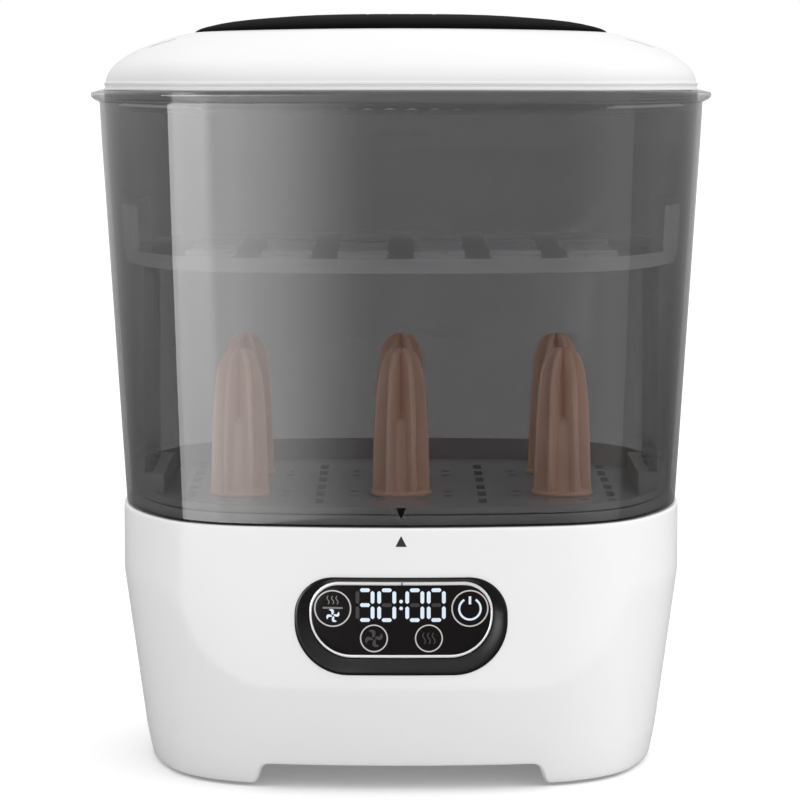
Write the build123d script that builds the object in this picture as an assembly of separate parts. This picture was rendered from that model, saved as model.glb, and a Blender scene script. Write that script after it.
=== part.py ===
from build123d import *
import math
import os

# Countertop bottle sterilizer with drying fan.  Millimetres, +Z up, front face towards -Y,
# origin on the floor under the middle of the object's bounding box.

# ---------------------------------------------------------------- driving dimensions
FLOOR_GAP = 1.4          # height of the white skirt above the table, taken up by the rubber feet
SEAM_Z = 124.0           # joint line between the base and the tinted sleeve
SLEEVE_TOP = 318.6       # upper edge of the sleeve
LID_Z = 319.0            # underside of the lid's flange
TOP_Z = 359.0            # highest point of the lid insert

BASE_A, BASE_B = 134.7, 121.3        # half width and half depth of the base above its crease
FOOT_A, FOOT_B = 121.0, 107.0        # half width and half depth at the floor
SLEEVE_A0, SLEEVE_B0 = 133.2, 119.8  # sleeve outside at the seam
SLEEVE_A1, SLEEVE_B1 = 145.8, 132.2  # sleeve outside at the rim
FLANGE_A, FLANGE_B = 149.8, 136.2    # flange round the sleeve's top
LID_FOOT = 144.6         # half width of the lid's foot
SLEEVE_T = 2.6                       # sleeve wall
SHELL_T = 3.0                        # base wall
DECK_Z0, DECK_Z1 = 115.0, 118.0      # horizontal deck inside the top of the base

BASIN_R = 74.0           # water basin, outer radius of its flange
BASIN_BOWL_R = 68.0
BASIN_Z = 104.0          # underside of the basin bowl

TRAY_FLOOR = 131.0       # top of the bottle tray's floor
POST_TOP = 201.0
SLOT_LEN, SLOT_W = 24.0, 7.0    # upper tray slots, long way left to right
POST_PITCH_X, POST_Y = 77.0, 44.0
UPPER_DECK = 246.5       # top of the upper tray's deck

PANEL_X, PANEL_Z0, PANEL_Z1 = 49.1, 56.0, 101.0   # panel bezel: half width, bottom and top
FAN_X, FAN_Y = -38.0, 22.0                         # vertical fan axis
os.makedirs("parts", exist_ok=True)


# ---------------------------------------------------------------- helpers
def plan(a, b, z, r1=360.0, r2=170.0, rc=60.0):
    """Closed plan outline of eight tangent arcs: half width a, half depth b."""
    r1, r2 = max(r1, b * 1.6, a * 1.3), max(r2, a * 1.02, b * 1.12)
    rc = min(rc, 0.62 * min(a, b))
    c1, c2 = (0.0, b - r1), (a - r2, 0.0)
    d1, d2 = r1 - rc, r2 - rc
    dx, dy = c2[0] - c1[0], c2[1] - c1[1]
    ln = math.hypot(dx, dy)
    k = (d1 * d1 - d2 * d2 + ln * ln) / (2 * ln)
    h = math.sqrt(max(d1 * d1 - k * k, 0.0))
    ux, uy = dx / ln, dy / ln
    best = None
    for s in (1, -1):
        c = (c1[0] + ux * k - uy * h * s, c1[1] + uy * k + ux * h * s)
        if c[0] > 0 and c[1] > 0:
            best = c
            break
    c = best
    v1 = ((c[0] - c1[0]) / d1, (c[1] - c1[1]) / d1)
    v2 = ((c[0] - c2[0]) / d2, (c[1] - c2[1]) / d2)
    p1 = (c1[0] + r1 * v1[0], c1[1] + r1 * v1[1])
    p2 = (c2[0] + r2 * v2[0], c2[1] + r2 * v2[1])
    m = ((v1[0] + v2[0]), (v1[1] + v2[1]))
    ml = math.hypot(*m)
    pm = (c[0] + rc * m[0] / ml, c[1] + rc * m[1] / ml)

    def v(p, sx, sy):
        return (p[0] * sx, p[1] * sy, z)

    e = [
        ThreePointArc(v(p1, -1, 1), (0, b, z), v(p1, 1, 1)),
        ThreePointArc(v(p1, 1, 1), v(pm, 1, 1), v(p2, 1, 1)),
        ThreePointArc(v(p2, 1, 1), (a, 0, z), v(p2, 1, -1)),
        ThreePointArc(v(p2, 1, -1), v(pm, 1, -1), v(p1, 1, -1)),
        ThreePointArc(v(p1, 1, -1), (0, -b, z), v(p1, -1, -1)),
        ThreePointArc(v(p1, -1, -1), v(pm, -1, -1), v(p2, -1, -1)),
        ThreePointArc(v(p2, -1, -1), (-a, 0, z), v(p2, -1, 1)),
        ThreePointArc(v(p2, -1, 1), v(pm, -1, 1), v(p1, -1, 1)),
    ]
    return Wire(e)


def stack(sections, **kw):
    """Solid through plan outlines; each section is (half width, half depth, z)."""
    return Solid.make_loft([plan(a, b, z, **kw) for a, b, z in sections], ruled=True)


def oval(sections):
    """Solid through ellipses; each section is (half width, half depth, z)."""
    return Solid.make_loft([Pos(0, 0, z) * Ellipse(a, b).wire() for a, b, z in sections], ruled=True)


def box(x0, y0, z0, x1, y1, z1):
    return Pos((x0 + x1) / 2, (y0 + y1) / 2, (z0 + z1) / 2) * Box(x1 - x0, y1 - y0, z1 - z0)


def cyl(x, y, z0, z1, r):
    return Pos(x, y, (z0 + z1) / 2) * Cylinder(r, z1 - z0)


def ycyl(x, z, y0, y1, r):
    return Pos(x, (y0 + y1) / 2, z) * Rot(90, 0, 0) * Cylinder(r, y1 - y0)


def tube(x, y, z0, z1, ro, ri):
    return cyl(x, y, z0, z1, ro) - cyl(x, y, z0 - 1, z1 + 1, ri)


def slab(shape2d, z0, z1):
    return Pos(0, 0, z0) * extrude(shape2d, amount=z1 - z0)


def save(name, *shapes):
    out = []
    for s in shapes:
        out += list(s.solids())
    body = out[0] if len(out) == 1 else Compound(children=out)
    export_step(body, f"parts/{name}.step")


def sleeve_at(z, inset=0.0):
    f = (z - SEAM_Z) / (SLEEVE_TOP - SEAM_Z)
    return (SLEEVE_A0 + f * (SLEEVE_A1 - SLEEVE_A0) - inset,
            SLEEVE_B0 + f * (SLEEVE_B1 - SLEEVE_B0) - inset, z)


# ---------------------------------------------------------------- base housing
# The upper wall is upright; the lower wall tapers in to the floor more steeply at the front
# than at the sides, so the two meet along a crease that sweeps up from the front to the sides.
upper = stack([(BASE_A - 0.5, BASE_B - 0.5, FLOOR_GAP), (BASE_A, BASE_B, 95.0), (BASE_A, BASE_B, SEAM_Z)])
lower = stack([(FOOT_A, FOOT_B, FLOOR_GAP), (124.2, 111.6, 16.0), (140.0, 145.0, 130.0)])
outer = upper & lower
inner = stack([(FOOT_A - 3.2, FOOT_B - 3.2, -5), (121.2, 108.4, 16.0), (131.3, 113.0, 40.0),
               (131.3, 117.8, 60.0), (131.6, 118.2, DECK_Z0)]) & stack(
    [(FOOT_A - 3.2, FOOT_B - 3.2, -5), (121.0, 108.2, 16.0), (137.0, 141.6, 130.0)])
neck_in = stack([(126.8, 113.4, DECK_Z1), (126.8, 113.4, SEAM_Z + 8)])
deck_space = (stack([(131.6, 118.2, DECK_Z0 - 1), (131.6, 118.2, DECK_Z1)])
              + stack([(129.2, 115.8, DECK_Z1 - 1), (129.2, 115.8, SEAM_Z + 2)]))
housing = outer - inner - deck_space
# dark top deck: a plate that fits up into the housing, with the neck that locates the sleeve
deck = (stack([(131.6, 118.2, DECK_Z0), (131.6, 118.2, DECK_Z1)]) + stack([(129.2, 115.8, DECK_Z1 - 0.5), (129.0, 115.6, SEAM_Z + 5.2)])) - neck_in

# arches that leave the four corners of the skirt as feet
def arch(w0, w1, h, depth):
    pts = [(-w0, -1), (-w0 + 1.6, 3.0), (-w1 - 1.5, h - 3.2), (-w1 + 3.0, h), (w1 - 3.0, h), (w1 + 1.5, h - 3.2),
           (w0 - 1.6, 3.0), (w0, -1)]
    f = make_face(Polyline(*pts, close=True))
    return extrude(Plane.XZ * f, amount=depth, both=True)

housing -= arch(70.5, 64.5, 11.4, 200.0) & box(-90, -200, -2, 90, 200, 12)

# deck openings: basin hole, warm air outlet port
deck -= cyl(0, 0, 110, 122, BASIN_BOWL_R + 1.5)
PORT = (-98.0, 54.0, -72.0, 80.0)
deck -= box(PORT[0], PORT[1], 110, PORT[2], PORT[3], 121)
# panel window in the front wall, filter window and inlet hole in the rear wall
def stadium_y(half_w, z0, z1, rt, rb, y0, y1):
    """Prism along Y of a flat-sided capsule outline."""
    with BuildSketch(Plane.XZ) as sk:
        with BuildLine():
            pts = [(-half_w, z0), (half_w, z0), (half_w, z1), (-half_w, z1)]
            Polyline(*pts, close=True)
        make_face()
        vs = sk.vertices()
        low = [v for v in vs if v.Z < (z0 + z1) / 2]
        high = [v for v in vs if v.Z > (z0 + z1) / 2]
        fillet(low, rb)
        fillet(high, rt)
    return Pos(0, y1, 0) * extrude(sk.sketch, amount=(y1 - y0))

housing -= stadium_y(PANEL_X + 0.05, PANEL_Z0 - 0.05, PANEL_Z1 + 0.05, 21.75, 22.05, -140, -100)
FILT = (-74.0, 32.0, -2.0, 86.0)      # rear filter window x0 z0 x1 z1
housing -= box(FILT[0], 95, FILT[1], FILT[2], 140, FILT[3])
housing -= box(20.0, 95, 58.0, 46.0, 140, 78.0)     # inlet window
# screw bosses standing down from the deck
BOSS = [(104, 46), (-104, -46), (98, -50), (12, 98)]
for bx, by in BOSS:
    deck += tube(bx, by, 17.0, DECK_Z0 + 0.2, 4.5, 1.6)
save("base_housing", housing)
save("top_deck", deck)

# ---------------------------------------------------------------- bottom plate, feet, screws
FEET = [(82, -70), (-82, -70), (82, 70), (-82, 70)]
bottom = stack([(118.6, 105.6, 13.6), (118.9, 105.9, 16.4)])
for fx, fy in FEET:
    bottom += cyl(fx, fy, 2.4, 14.0, 11.0)
for fx, fy in FEET:
    bottom -= cyl(fx, fy, 0, 4.4, 9.0)
for bx, by in BOSS:
    bottom -= cyl(bx, by, 10, 20, 1.9)
for i in range(9):
    bottom -= box(30 + i * 6, -50, 10, 33 + i * 6, -10, 20)
save("bottom_plate", bottom)
save("rubber_feet", *[cyl(fx, fy, 0, 4.4, 9.0) for fx, fy in FEET])
save("bottom_screws", *[cyl(bx, by, 11.4, 13.6, 3.4) + cyl(bx, by, 13.6, 30, 1.5) for bx, by in BOSS])

# ---------------------------------------------------------------- basin and heater
basin = Solid.make_loft([Wire(Circle(BASIN_BOWL_R - 6).edge()).moved(Pos(0, 0, BASIN_Z)),
                         Wire(Circle(BASIN_BOWL_R).edge()).moved(Pos(0, 0, BASIN_Z + 8))], ruled=True)
basin += cyl(0, 0, BASIN_Z + 8, 120.6, BASIN_BOWL_R)
basin += cyl(0, 0, 119.2, 120.6, BASIN_R)
basin -= Solid.make_loft([Wire(Circle(BASIN_BOWL_R - 7.6).edge()).moved(Pos(0, 0, BASIN_Z + 1.6)),
                          Wire(Circle(BASIN_BOWL_R - 1.6).edge()).moved(Pos(0, 0, BASIN_Z + 8.6))], ruled=True)
basin -= cyl(0, 0, BASIN_Z + 8.6, 125, BASIN_BOWL_R - 1.6)
save("heating_basin", basin)
save("basin_gasket", tube(0, 0, DECK_Z1, 119.2, BASIN_R - 0.6, BASIN_BOWL_R + 0.6))
ring = Pos(0, 0, BASIN_Z - 3.6) * Torus(44.0, 3.6)
ring -= box(-60, -60, 90, 60, -36, 110)
save("heater_element", ring)
save("heater_terminals", *[cyl(sx * 25.3, -36.0 + 2.0, 84.0, 96.2, 1.6) for sx in (-1, 1)])
save("thermostat", cyl(0, 0, 93.0, BASIN_Z, 11.0) + box(-4, -13, 90.0, 4, 13, 93.2))
save("thermal_fuse", box(18, 4, 98.2, 30, 9, BASIN_Z))

# ---------------------------------------------------------------- warm-air system
# scroll casing, split into a lower tub and a cover, with a vertical fan axis
SC_Z0, SC_Z1 = 26.0, 62.0
scroll = cyl(FAN_X, FAN_Y, SC_Z0, SC_Z1, 48.0) + box(FAN_X - 48, FAN_Y, SC_Z0, FAN_X - 18, 76.0, SC_Z1)
cav = cyl(FAN_X, FAN_Y, SC_Z0 + 2.4, SC_Z1 + 1, 45.6) + box(FAN_X - 45.6, FAN_Y, SC_Z0 + 2.4, FAN_X - 20.4, 73.6, SC_Z1 + 1)
tub = scroll - cav
tub -= cyl(FAN_X, FAN_Y, 20, 30, 8.0)
save("fan_scroll", tub)
cover = (cyl(FAN_X, FAN_Y, SC_Z1, SC_Z1 + 2.2, 48.0) + box(FAN_X - 48, FAN_Y, SC_Z1, FAN_X - 18, 76.0, SC_Z1 + 2.2))
cover -= cyl(FAN_X, FAN_Y, SC_Z1 - 1, SC_Z1 + 4, 24.0)
cover -= box(FAN_X - 45, 49.0, SC_Z1 - 1, FAN_X - 21, 73.0, SC_Z1 + 4)
save("scroll_cover", cover)
# impeller with curved blades, pressed on the motor shaft
imp = tube(FAN_X, FAN_Y, 32.0, 34.0, 40.0, 2.0) + tube(FAN_X, FAN_Y, 32.0, 46.0, 9.0, 2.0)
imp += tube(FAN_X, FAN_Y, 54.0, 55.6, 40.0, 30.0)
for i in range(24):
    imp += Pos(FAN_X, FAN_Y, 44.0) * Rot(0, 0, i * 15) * Pos(34.5, 0, 0) * Rot(0, 0, 28) * Box(9.0, 1.2, 21.0)
save("fan_impeller", imp)
save("motor_shaft", cyl(FAN_X, FAN_Y, 19.2, 46.0, 2.0))
motor = cyl(FAN_X, FAN_Y, 17.2, SC_Z0, 17.0) - cyl(FAN_X, FAN_Y, 18.4, 30, 2.05)
save("fan_motor", motor)
# duct from the scroll to the port in the deck, with the ceramic heater inside it
DX0, DX1, DY0, DY1 = FAN_X - 47.0, FAN_X - 19.0, 47.0, 75.0
def duct_box(x0, y0, x1, y1, z):
    return Wire(Polyline((x0, y0, z), (x1, y0, z), (x1, y1, z), (x0, y1, z), close=True).edges())
duct = Solid.make_loft([duct_box(DX0, DY0, DX1, DY1, SC_Z1 + 2.2), duct_box(PORT[0] - 1.8, PORT[1] - 1.8, PORT[2] + 1.8, PORT[3] + 1.8, DECK_Z0)], ruled=True)
duct -= Solid.make_loft([duct_box(DX0 + 2, DY0 + 2, DX1 - 2, DY1 - 2, SC_Z1 + 2.0), duct_box(PORT[0], PORT[1], PORT[2], PORT[3], DECK_Z0 + 0.2)], ruled=True)
save("air_duct", duct)
ptc = box(FAN_X - 43, 54.0, 68.0, FAN_X - 29, 71.0, 82.0)
for i in range(5):
    ptc -= box(FAN_X - 42 + i * 2.7, 55, 60, FAN_X - 40.6 + i * 2.7, 70, 90)
save("air_heater", ptc)
grille = box(PORT[0] + 0.3, PORT[1] + 0.3, 115.4, PORT[2] - 0.3, PORT[3] - 0.3, 118.0) + box(PORT[0] - 2, PORT[1] - 2, 118.0, PORT[2] + 2, PORT[3] + 2, 119.2)
for i in range(6):
    grille -= box(PORT[0] + 2.2 + i * 4.3, PORT[1] + 2.6, 110, PORT[0] + 4.4 + i * 4.3, PORT[3] - 2.6, 122)
save("air_outlet_grille", grille)

# ---------------------------------------------------------------- rear filter
hx0, hz0, hx1, hz1 = FILT
pocket = box(hx0 - 1.6, 80.4, hz0 - 1.6, hx1 + 1.6, 100.0, hz1 + 1.6) - box(hx0 + 0.4, 82.4, hz0 + 0.4, hx1 - 0.4, 130.0, hz1 - 0.4)
pocket -= box(hx0 + 8, 70, hz0 + 8, hx1 - 8, 95, hz1 - 8)
for i in range(4):
    pocket += box(hx0 + 17 + i * 12.5, 80.4, hz0 + 6, hx0 + 19 + i * 12.5, 82.4, hz1 - 6)
save("filter_pocket", pocket)
filt = box(hx0 + 1.0, 83.4, hz0 + 1.0, hx1 - 1.0, 100.0, hz1 - 1.0)
frame_in = box(hx0 + 4.0, 70.0, hz0 + 4.0, hx1 - 4.0, 120.0, hz1 - 4.0)
save("filter_frame", filt - frame_in)
pleat_pts = []
n_pl = 16
wx0, wx1 = hx0 + 4.0, hx1 - 4.0
for i in range(n_pl + 1):
    pleat_pts.append((wx0 + (wx1 - wx0) * i / n_pl, 84.0 if i % 2 else 96.0))
back_pts = [(x, y + 2.0) for x, y in reversed(pleat_pts)]
media = Pos(0, 0, hz0 + 4.0) * extrude(make_face(Polyline(*(pleat_pts + back_pts), close=True)), amount=hz1 - hz0 - 8.0)
save("filter_media", media)
# grille cover: slice of the base's own rear wall with louvre slots
rear = (stack([(BASE_A, BASE_B + 0.6, 20.0), (BASE_A, BASE_B + 0.6, 110.0)]) - stack([(BASE_A - 3, BASE_B - 2.4, 19.0), (BASE_A - 3, BASE_B - 2.4, 111.0)]))
fcov = rear & box(hx0 + 0.6, 95, hz0 + 0.6, hx1 - 0.6, 140, hz1 - 0.6)
for i in range(9):
    z = hz0 + 8 + i * 4.6
    fcov -= box(hx0 + 9, 90, z, hx1 - 9, 140, z + 2.2)
fcov += box(-46, 106.0, hz1 - 5.2, -30, 119.6, hz1 - 3.2)
save("filter_cover", fcov)

# ---------------------------------------------------------------- electronics, inlet
save("power_board", box(34, -30, 24.0, 100, 34, 25.6))
save("power_board_parts", box(40, -20, 25.6, 58, -4, 42.0), box(64, -22, 25.6, 84, -6, 38.0), cyl(50, 12, 25.6, 46.0, 6.5), cyl(70, 14, 25.6, 40.0, 5.0), box(84, 8, 25.6, 96, 26, 34.0))
save("board_standoffs", *[cyl(x, y, 16.4, 24.0, 3.0) for x, y in ((38, -26), (96, -26), (38, 30), (96, 30))])
# appliance inlet in the rear wall
inlet_flange = (stack([(BASE_A + 1.6, BASE_B + 1.6, 50.0), (BASE_A + 1.6, BASE_B + 1.6, 90.0)])
                - stack([(BASE_A, BASE_B, 49.0), (BASE_A, BASE_B, 91.0)])) & box(17.0, 100, 55.0, 49.0, 140, 81.0)
inlet = inlet_flange + (box(20.0, 98.0, 58.0, 46.0, 125.0, 78.0) & stack([(BASE_A + 1.0, BASE_B + 1.0, 49.0), (BASE_A + 1.0, BASE_B + 1.0, 91.0)]))
inlet -= box(22.4, 104.0, 60.6, 43.6, 130, 75.4)
save("power_inlet", inlet)
save("inlet_pins", *[box(x - 1, 104.0, 65.5, x + 1, 117.0, 70.5) for x in (27.0, 33.0, 39.0)])
def wire_run(pts, r, rad):
    path = FilletPolyline(*pts, radius=rad)
    t = path % 0
    return sweep(Plane(origin=path @ 0, z_dir=t) * Circle(r), path=path)
w1 = wire_run([(27, 98, 68), (27, 84, 68), (46, 62, 62), (78, 44, 56), (90, 30, 46), (90, 22, 35.8)], 1.6, 4.0)
w2 = wire_run([(39, 98, 68), (39, 84, 68), (60, 66, 70), (70, 0, 70), (62, -24, 66), (40, -34, 64), (25.3, -34, 72), (25.3, -34, 84)], 1.6, 5.0)
save("mains_wire_live", w1)
save("mains_wire_neutral", w2)

# ---------------------------------------------------------------- control panel in the front wall
front_slice = stack([(BASE_A + 0.9, BASE_B + 0.9, 40.0), (BASE_A + 0.9, BASE_B + 0.9, 115.0)])


def skin(d0, d1):
    """Shell parallel to the front wall, from d0 to d1 mm under its surface."""
    return (stack([(BASE_A - d0, BASE_B - d0, 45.0), (BASE_A - d0, BASE_B - d0, 112.0)])
            - stack([(BASE_A - d1, BASE_B - d1, 44.0), (BASE_A - d1, BASE_B - d1, 113.0)]))


bz = stadium_y(PANEL_X, PANEL_Z0, PANEL_Z1, 21.7, 22.0, -128.0, -111.8) & front_slice
bz -= stadium_y(42.6, 63.9, 99.4, 17.4, 17.6, -130.0, -100.0)
bz -= ycyl(45.9, 80, -115.6, -105, 1.2) + ycyl(-45.9, 80, -115.6, -105, 1.2)
save("panel_bezel", bz)
save("panel_trim_ring", (stadium_y(42.6, 63.9, 99.4, 17.4, 17.6, -126, -100) - stadium_y(41.1, 65.6, 97.1, 15.6, 15.75, -130, -90)) & skin(0.6, 4.6))
glass_outline = stadium_y(41.1, 65.6, 97.1, 15.6, 15.75, -126, -100)
save("touch_panel", glass_outline & skin(1.0, 3.2))
save("touch_foil", stadium_y(40.0, 66.4, 96.3, 14.8, 14.9, -126, -100) & skin(3.2, 3.6))
save("display_module", box(-22.5, -116.6, 79.0, 23.0, -111.6, 96.0))
save("control_board", box(-41.5, -111.6, 67.0, 41.5, -110.0, 96.0))
save("control_board_parts", box(-30, -110.0, 70, -18, -107.0, 82), box(4, -110.0, 72, 14, -108.0, 80), ycyl(30, 76, -110.0, -102.0, 5.0))
brk = box(-56, -109.6, 60.0, 56, -108.0, 103.0) - box(-40, -115, 64, 40, -100, 96)
for x in (-45.9, 45.9):
    brk += ycyl(x, 80, -111.8, -108.0, 3.0)
    brk -= ycyl(x, 80, -115, -105, 1.3)
save("panel_bracket", brk)
save("panel_screws", *[ycyl(x, z, -108.0, -105.8, 2.8) + ycyl(x, z, -115.4, -108.0, 1.1) for x, z in ((-45.9, 80), (45.9, 80))])

# ---------------------------------------------------------------- sleeve
slv = stack([sleeve_at(SEAM_Z + 0.3), sleeve_at(SLEEVE_TOP)]) - stack([sleeve_at(SEAM_Z - 1, SLEEVE_T), sleeve_at(SLEEVE_TOP + 1, SLEEVE_T)])
a1, b1, _ = sleeve_at(SLEEVE_TOP)
rim = stack([(a1 + 0.4, b1 + 0.4, 314.4), (FLANGE_A - 0.6, FLANGE_B - 0.6, 316.0), (FLANGE_A, FLANGE_B, 316.6), (FLANGE_A, FLANGE_B, SLEEVE_TOP)]) - stack([sleeve_at(310, 1.0), sleeve_at(322, 1.0)])
save("sleeve", slv + rim)
mark = Polyline((-2.3, 0), (2.3, 0), (0, -4.6), close=True)
fy = -sleeve_at(130)[1]
mk = Pos(0, fy - 0.55, 133.4) * extrude(Plane.XZ * make_face(mark), amount=0.6)
mk = mk - stack([sleeve_at(120, -0.02), sleeve_at(140, -0.02)])
save("sleeve_pointer", mk)
mkb = Pos(0, -BASE_B + 0.0, 115.6) * extrude(Plane.XZ * make_face(Polyline((-2.7, 0), (2.7, 0), (0, 4.6), close=True)), amount=0.25)
save("base_pointer", mkb - stack([(BASE_A, BASE_B, 100), (BASE_A, BASE_B, 130)]))

# ---------------------------------------------------------------- bottle tray and posts
TA, TB = 129.6, 116.0
tray = stack([(125.4, 112.0, 126.4), (126.0, 112.6, 129.7)]) + stack([(TA - 1.4, TB - 1.4, 129.7), (TA - 1.2, TB - 1.2, TRAY_FLOOR + 2.0)])
tray -= stack([(TA - 3.4, TB - 3.4, TRAY_FLOOR), (TA - 3.2, TB - 3.2, TRAY_FLOOR + 4)])
# dishing under the floor
tray -= stack([(122.0, 108.6, 124.0), (122.2, 108.8, 128.6)])
# end humps that carry the upper tray's legs
for s in (-1, 1):
    hump = stack([(TA - 1.3, TB - 1.3, TRAY_FLOOR - 0.5), (TA - 1.0, TB - 1.0, 141.0)]) & box(min(s * 113, s * 135), -48, 129, max(s * 113, s * 135), 48, 141)
    tray += hump
# raised wall along the back
bw = (stack([(TA - 1.2, TB - 1.2, TRAY_FLOOR), (TA - 0.9, TB - 0.9, 141.5)]) - stack([(TA - 3.4, TB - 3.4, TRAY_FLOOR - 1), (TA - 3.1, TB - 3.1, 143)])) & box(-135, 20, 125, 135, 135, 142)
tray += bw
# four locating feet standing on the deck
for x, y in ((96, -62), (-96, -62), (104, 42), (-108, 30)):
    tray += cyl(x, y, DECK_Z1 + 0.35, 129.0, 4.5)
POSTS = [(i * POST_PITCH_X, j * POST_Y) for i in (-1, 0, 1) for j in (-1, 1)]
for px, py in POSTS:
    for k in range(8):
        ang = math.radians(22.5 + 45 * k)
        tray -= cyl(px + 24 * math.cos(ang), py + 24 * math.sin(ang), 120, 135, 2.2)
for x in (-100, -38.5, 38.5, 100):
    for y in (-72, -44, -16, 16, 44, 72):
        tray -= box(x - 2, y - 9, 120, x + 2, y + 9, 129 + 3)
# leg sockets in the humps
for s in (-1, 1):
    for y in (-30, 30):
        tray -= box(s * 121 - 2.0, y - 8.4, 131.5, s * 121 + 2.0, y + 8.4, 145)
    tray -= box(s * 121 - 2.2, -14, 136, s * 121 + 2.2, 14, 145)
save("bottle_tray", tray)

def post(px, py):
    p = Solid.make_cone(8.6, 7.6, 34.0) + Pos(0, 0, 34.0) * Solid.make_cone(7.6, 3.2, 4.0)
    for k in range(6):
        prof = make_face(Polyline((0, 0), (13.6, 0), (13.3, 20.0), (12.5, 39.0), (11.8, 50.0), (10.7, 59.0), (8.6, 65.5), (5.5, 69.0), (3.0, 70.0), (2.2, 66.0), (0, 64.0), close=True))
        fin = extrude(Plane.XZ * prof, amount=1.3, both=True)
        p = p + Rot(0, 0, 60 * k) * fin
    p = p + Pos(0, 0, 1.0) * Cylinder(14.6, 2.0)
    return Pos(px, py, TRAY_FLOOR) * p
save("bottle_posts_front", *[post(px, py) for px, py in POSTS if py < 0])
save("bottle_posts_rear", *[post(px, py) for px, py in POSTS if py > 0])

# ---------------------------------------------------------------- upper tray
ua, ub = 134.4, 121.0
up = stack([(ua - 1.4, ub - 1.4, 241.0), (ua, ub, UPPER_DECK + 1.2)])
up -= stack([(ua - 3.6, ub - 3.6, 240.0), (ua - 3.4, ub - 3.4, 244.2)])
up -= stack([(ua - 2.0, ub - 2.0, UPPER_DECK), (ua - 1.8, ub - 1.8, UPPER_DECK + 3)])
UP_SLOTS = []
for ix in range(-5, 6, 2):
    for iy in range(-7, 8):
        x, y = ix * 18.0, iy * 13.0
        if (abs(x) / 119.0) ** 2.6 + (abs(y) / 109.0) ** 2.6 < 1:
            UP_SLOTS.append((x, y))
for x, y in UP_SLOTS:
    h = SLOT_LEN / 2 - SLOT_W / 2
    up -= box(x - h, y - SLOT_W / 2, 238, x + h, y + SLOT_W / 2, 250) + cyl(x - h, y, 238, 250, SLOT_W / 2) + cyl(x + h, y, 238, 250, SLOT_W / 2)
for s in (-1, 1):
    wing = (stack([(ua - 0.2, ub - 0.2, UPPER_DECK), (ua + 1.0, ub + 1.0, 269.0)]) - stack([(ua - 2.6, ub - 2.6, UPPER_DECK - 1), (ua - 1.4, ub - 1.4, 270.0)])) & box(min(s * 100, s * 140), -52, 246, max(s * 100, s * 140), 52, 269)
    up += wing
save("upper_tray", up)
legs = []
for s in (-1, 1):
    leg = box(s * 121 - 1.5, -38, 141.4, s * 121 + 1.5, 38, 244.2)
    leg -= box(s * 121 - 4, -28, 152, s * 121 + 4, 28, 236)
    for y in (-30, 30):
        leg += box(s * 121 - 1.5, y - 8, 132.2, s * 121 + 1.5, y + 8, 142)
    legs.append(leg)
save("upper_tray_legs", *legs)

# ---------------------------------------------------------------- lid
LID_SECT = [(LID_FOOT - 0.4, 319.0), (LID_FOOT, 319.4), (LID_FOOT, 321.0), (LID_FOOT - 0.7, 321.6), (LID_FOOT - 0.7, 322.8), (LID_FOOT - 0.2, 323.2), (LID_FOOT - 0.4, 324.6), (143.2, 326.5), (141.4, 330.6),
            (136.9, 335.0), (132.7, 338.6), (129.1, 340.6), (124.9, 342.5), (119.3, 344.5), (112.3, 346.4), (103.8, 348.4), (95.0, 350.0), (80.0, 352.0)]
def lid_b(a):
    return a * (0.9092 if a > 120 else 0.9092 - (120 - a) * 0.0028)
sect = [(a, lid_b(a), z) for a, z in LID_SECT]
lid = stack(sect)
lid_inside = stack([(140.4, 127.0, 318.0), (140.2, 126.8, 326.0), (137.6, 124.6, 330.0), (132.6, 119.8, 334.0), (124.9, 113.4, 339.0), (112.3, 100.0, 343.6), (80.0, 64.0, 347.4)])
lid -= lid_inside
# seat for the insert
seat = oval([(100.3, 75.3, 346.2), (100.3, 75.3, 360)])
lid -= seat
for s in (-1, 1):
    lid -= Pos(s * 117.0, -34.0, 344) * Rot(0, 0, s * 14) * Box(13.0, 2.6, 14.0)
    lid -= Pos(s * 117.0, 34.0, 344) * Rot(0, 0, -s * 14) * Box(13.0, 2.6, 14.0)
for x, y in ((124, 0), (-124, 0), (0, 112), (0, -112)):
    lid += tube(x, y, 320.5, 338.4, 4.0, 1.5)
save("lid_shell", lid)
# liner with the skirt that drops inside the sleeve
lin = stack([(141.6, 128.2, 313.6), (142.0, 128.6, 318.8)]) - stack([(139.8, 126.4, 312), (139.8, 126.4, 319.4)])
lin += stack([(139.9, 126.5, 318.8), (139.9, 126.5, 320.4)]) - stack([(118, 104, 318), (118, 104, 321)])
lin += stack([(118.4, 104.4, 318.8), (100.0, 88.0, 323.2)]) - stack([(118.0, 104.0, 317.6), (99.6, 87.6, 322.0)])
lin += stack([(100.2, 88.2, 322.0), (100.2, 88.2, 323.4)])
LID_SCREWS = ((124, 0), (-124, 0), (0, 112), (0, -112))
for x, y in LID_SCREWS:
    lin -= cyl(x, y, 310, 330, 1.7)
save("lid_liner", lin)
save("lid_seal", stack([(142.7, 129.2, 316.0), (142.7, 129.2, 317.4)]) - stack([(142.0, 128.6, 315.0), (142.0, 128.6, 319.0)]))
ins = oval([(100.0, 75.0, 346.6), (100.0, 75.0, 350.9), (94.4, 70.8, 352.6), (82.0, 61.5, 354.8), (64.2, 48.1, 356.7), (42.5, 31.9, 358.3), (20.0, 15.0, 359.0)])
ins -= oval([(97.4, 72.4, 345.0), (97.4, 72.4, 349.6), (42.0, 31.0, 355.4)])
for x in (-16, 0, 16):
    ins -= box(x - 3.2, 18, 350, x + 3.2, 20.6, 362)
save("lid_insert", ins)
save("lid_screws", *[cyl(x, y, 316.8, 318.8, 3.0) + cyl(x, y, 318.8, 334.0, 1.4) for x, y in LID_SCREWS])
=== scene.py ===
import bpy, bmesh, math
import numpy as np
from mathutils import Vector, Matrix


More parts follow.
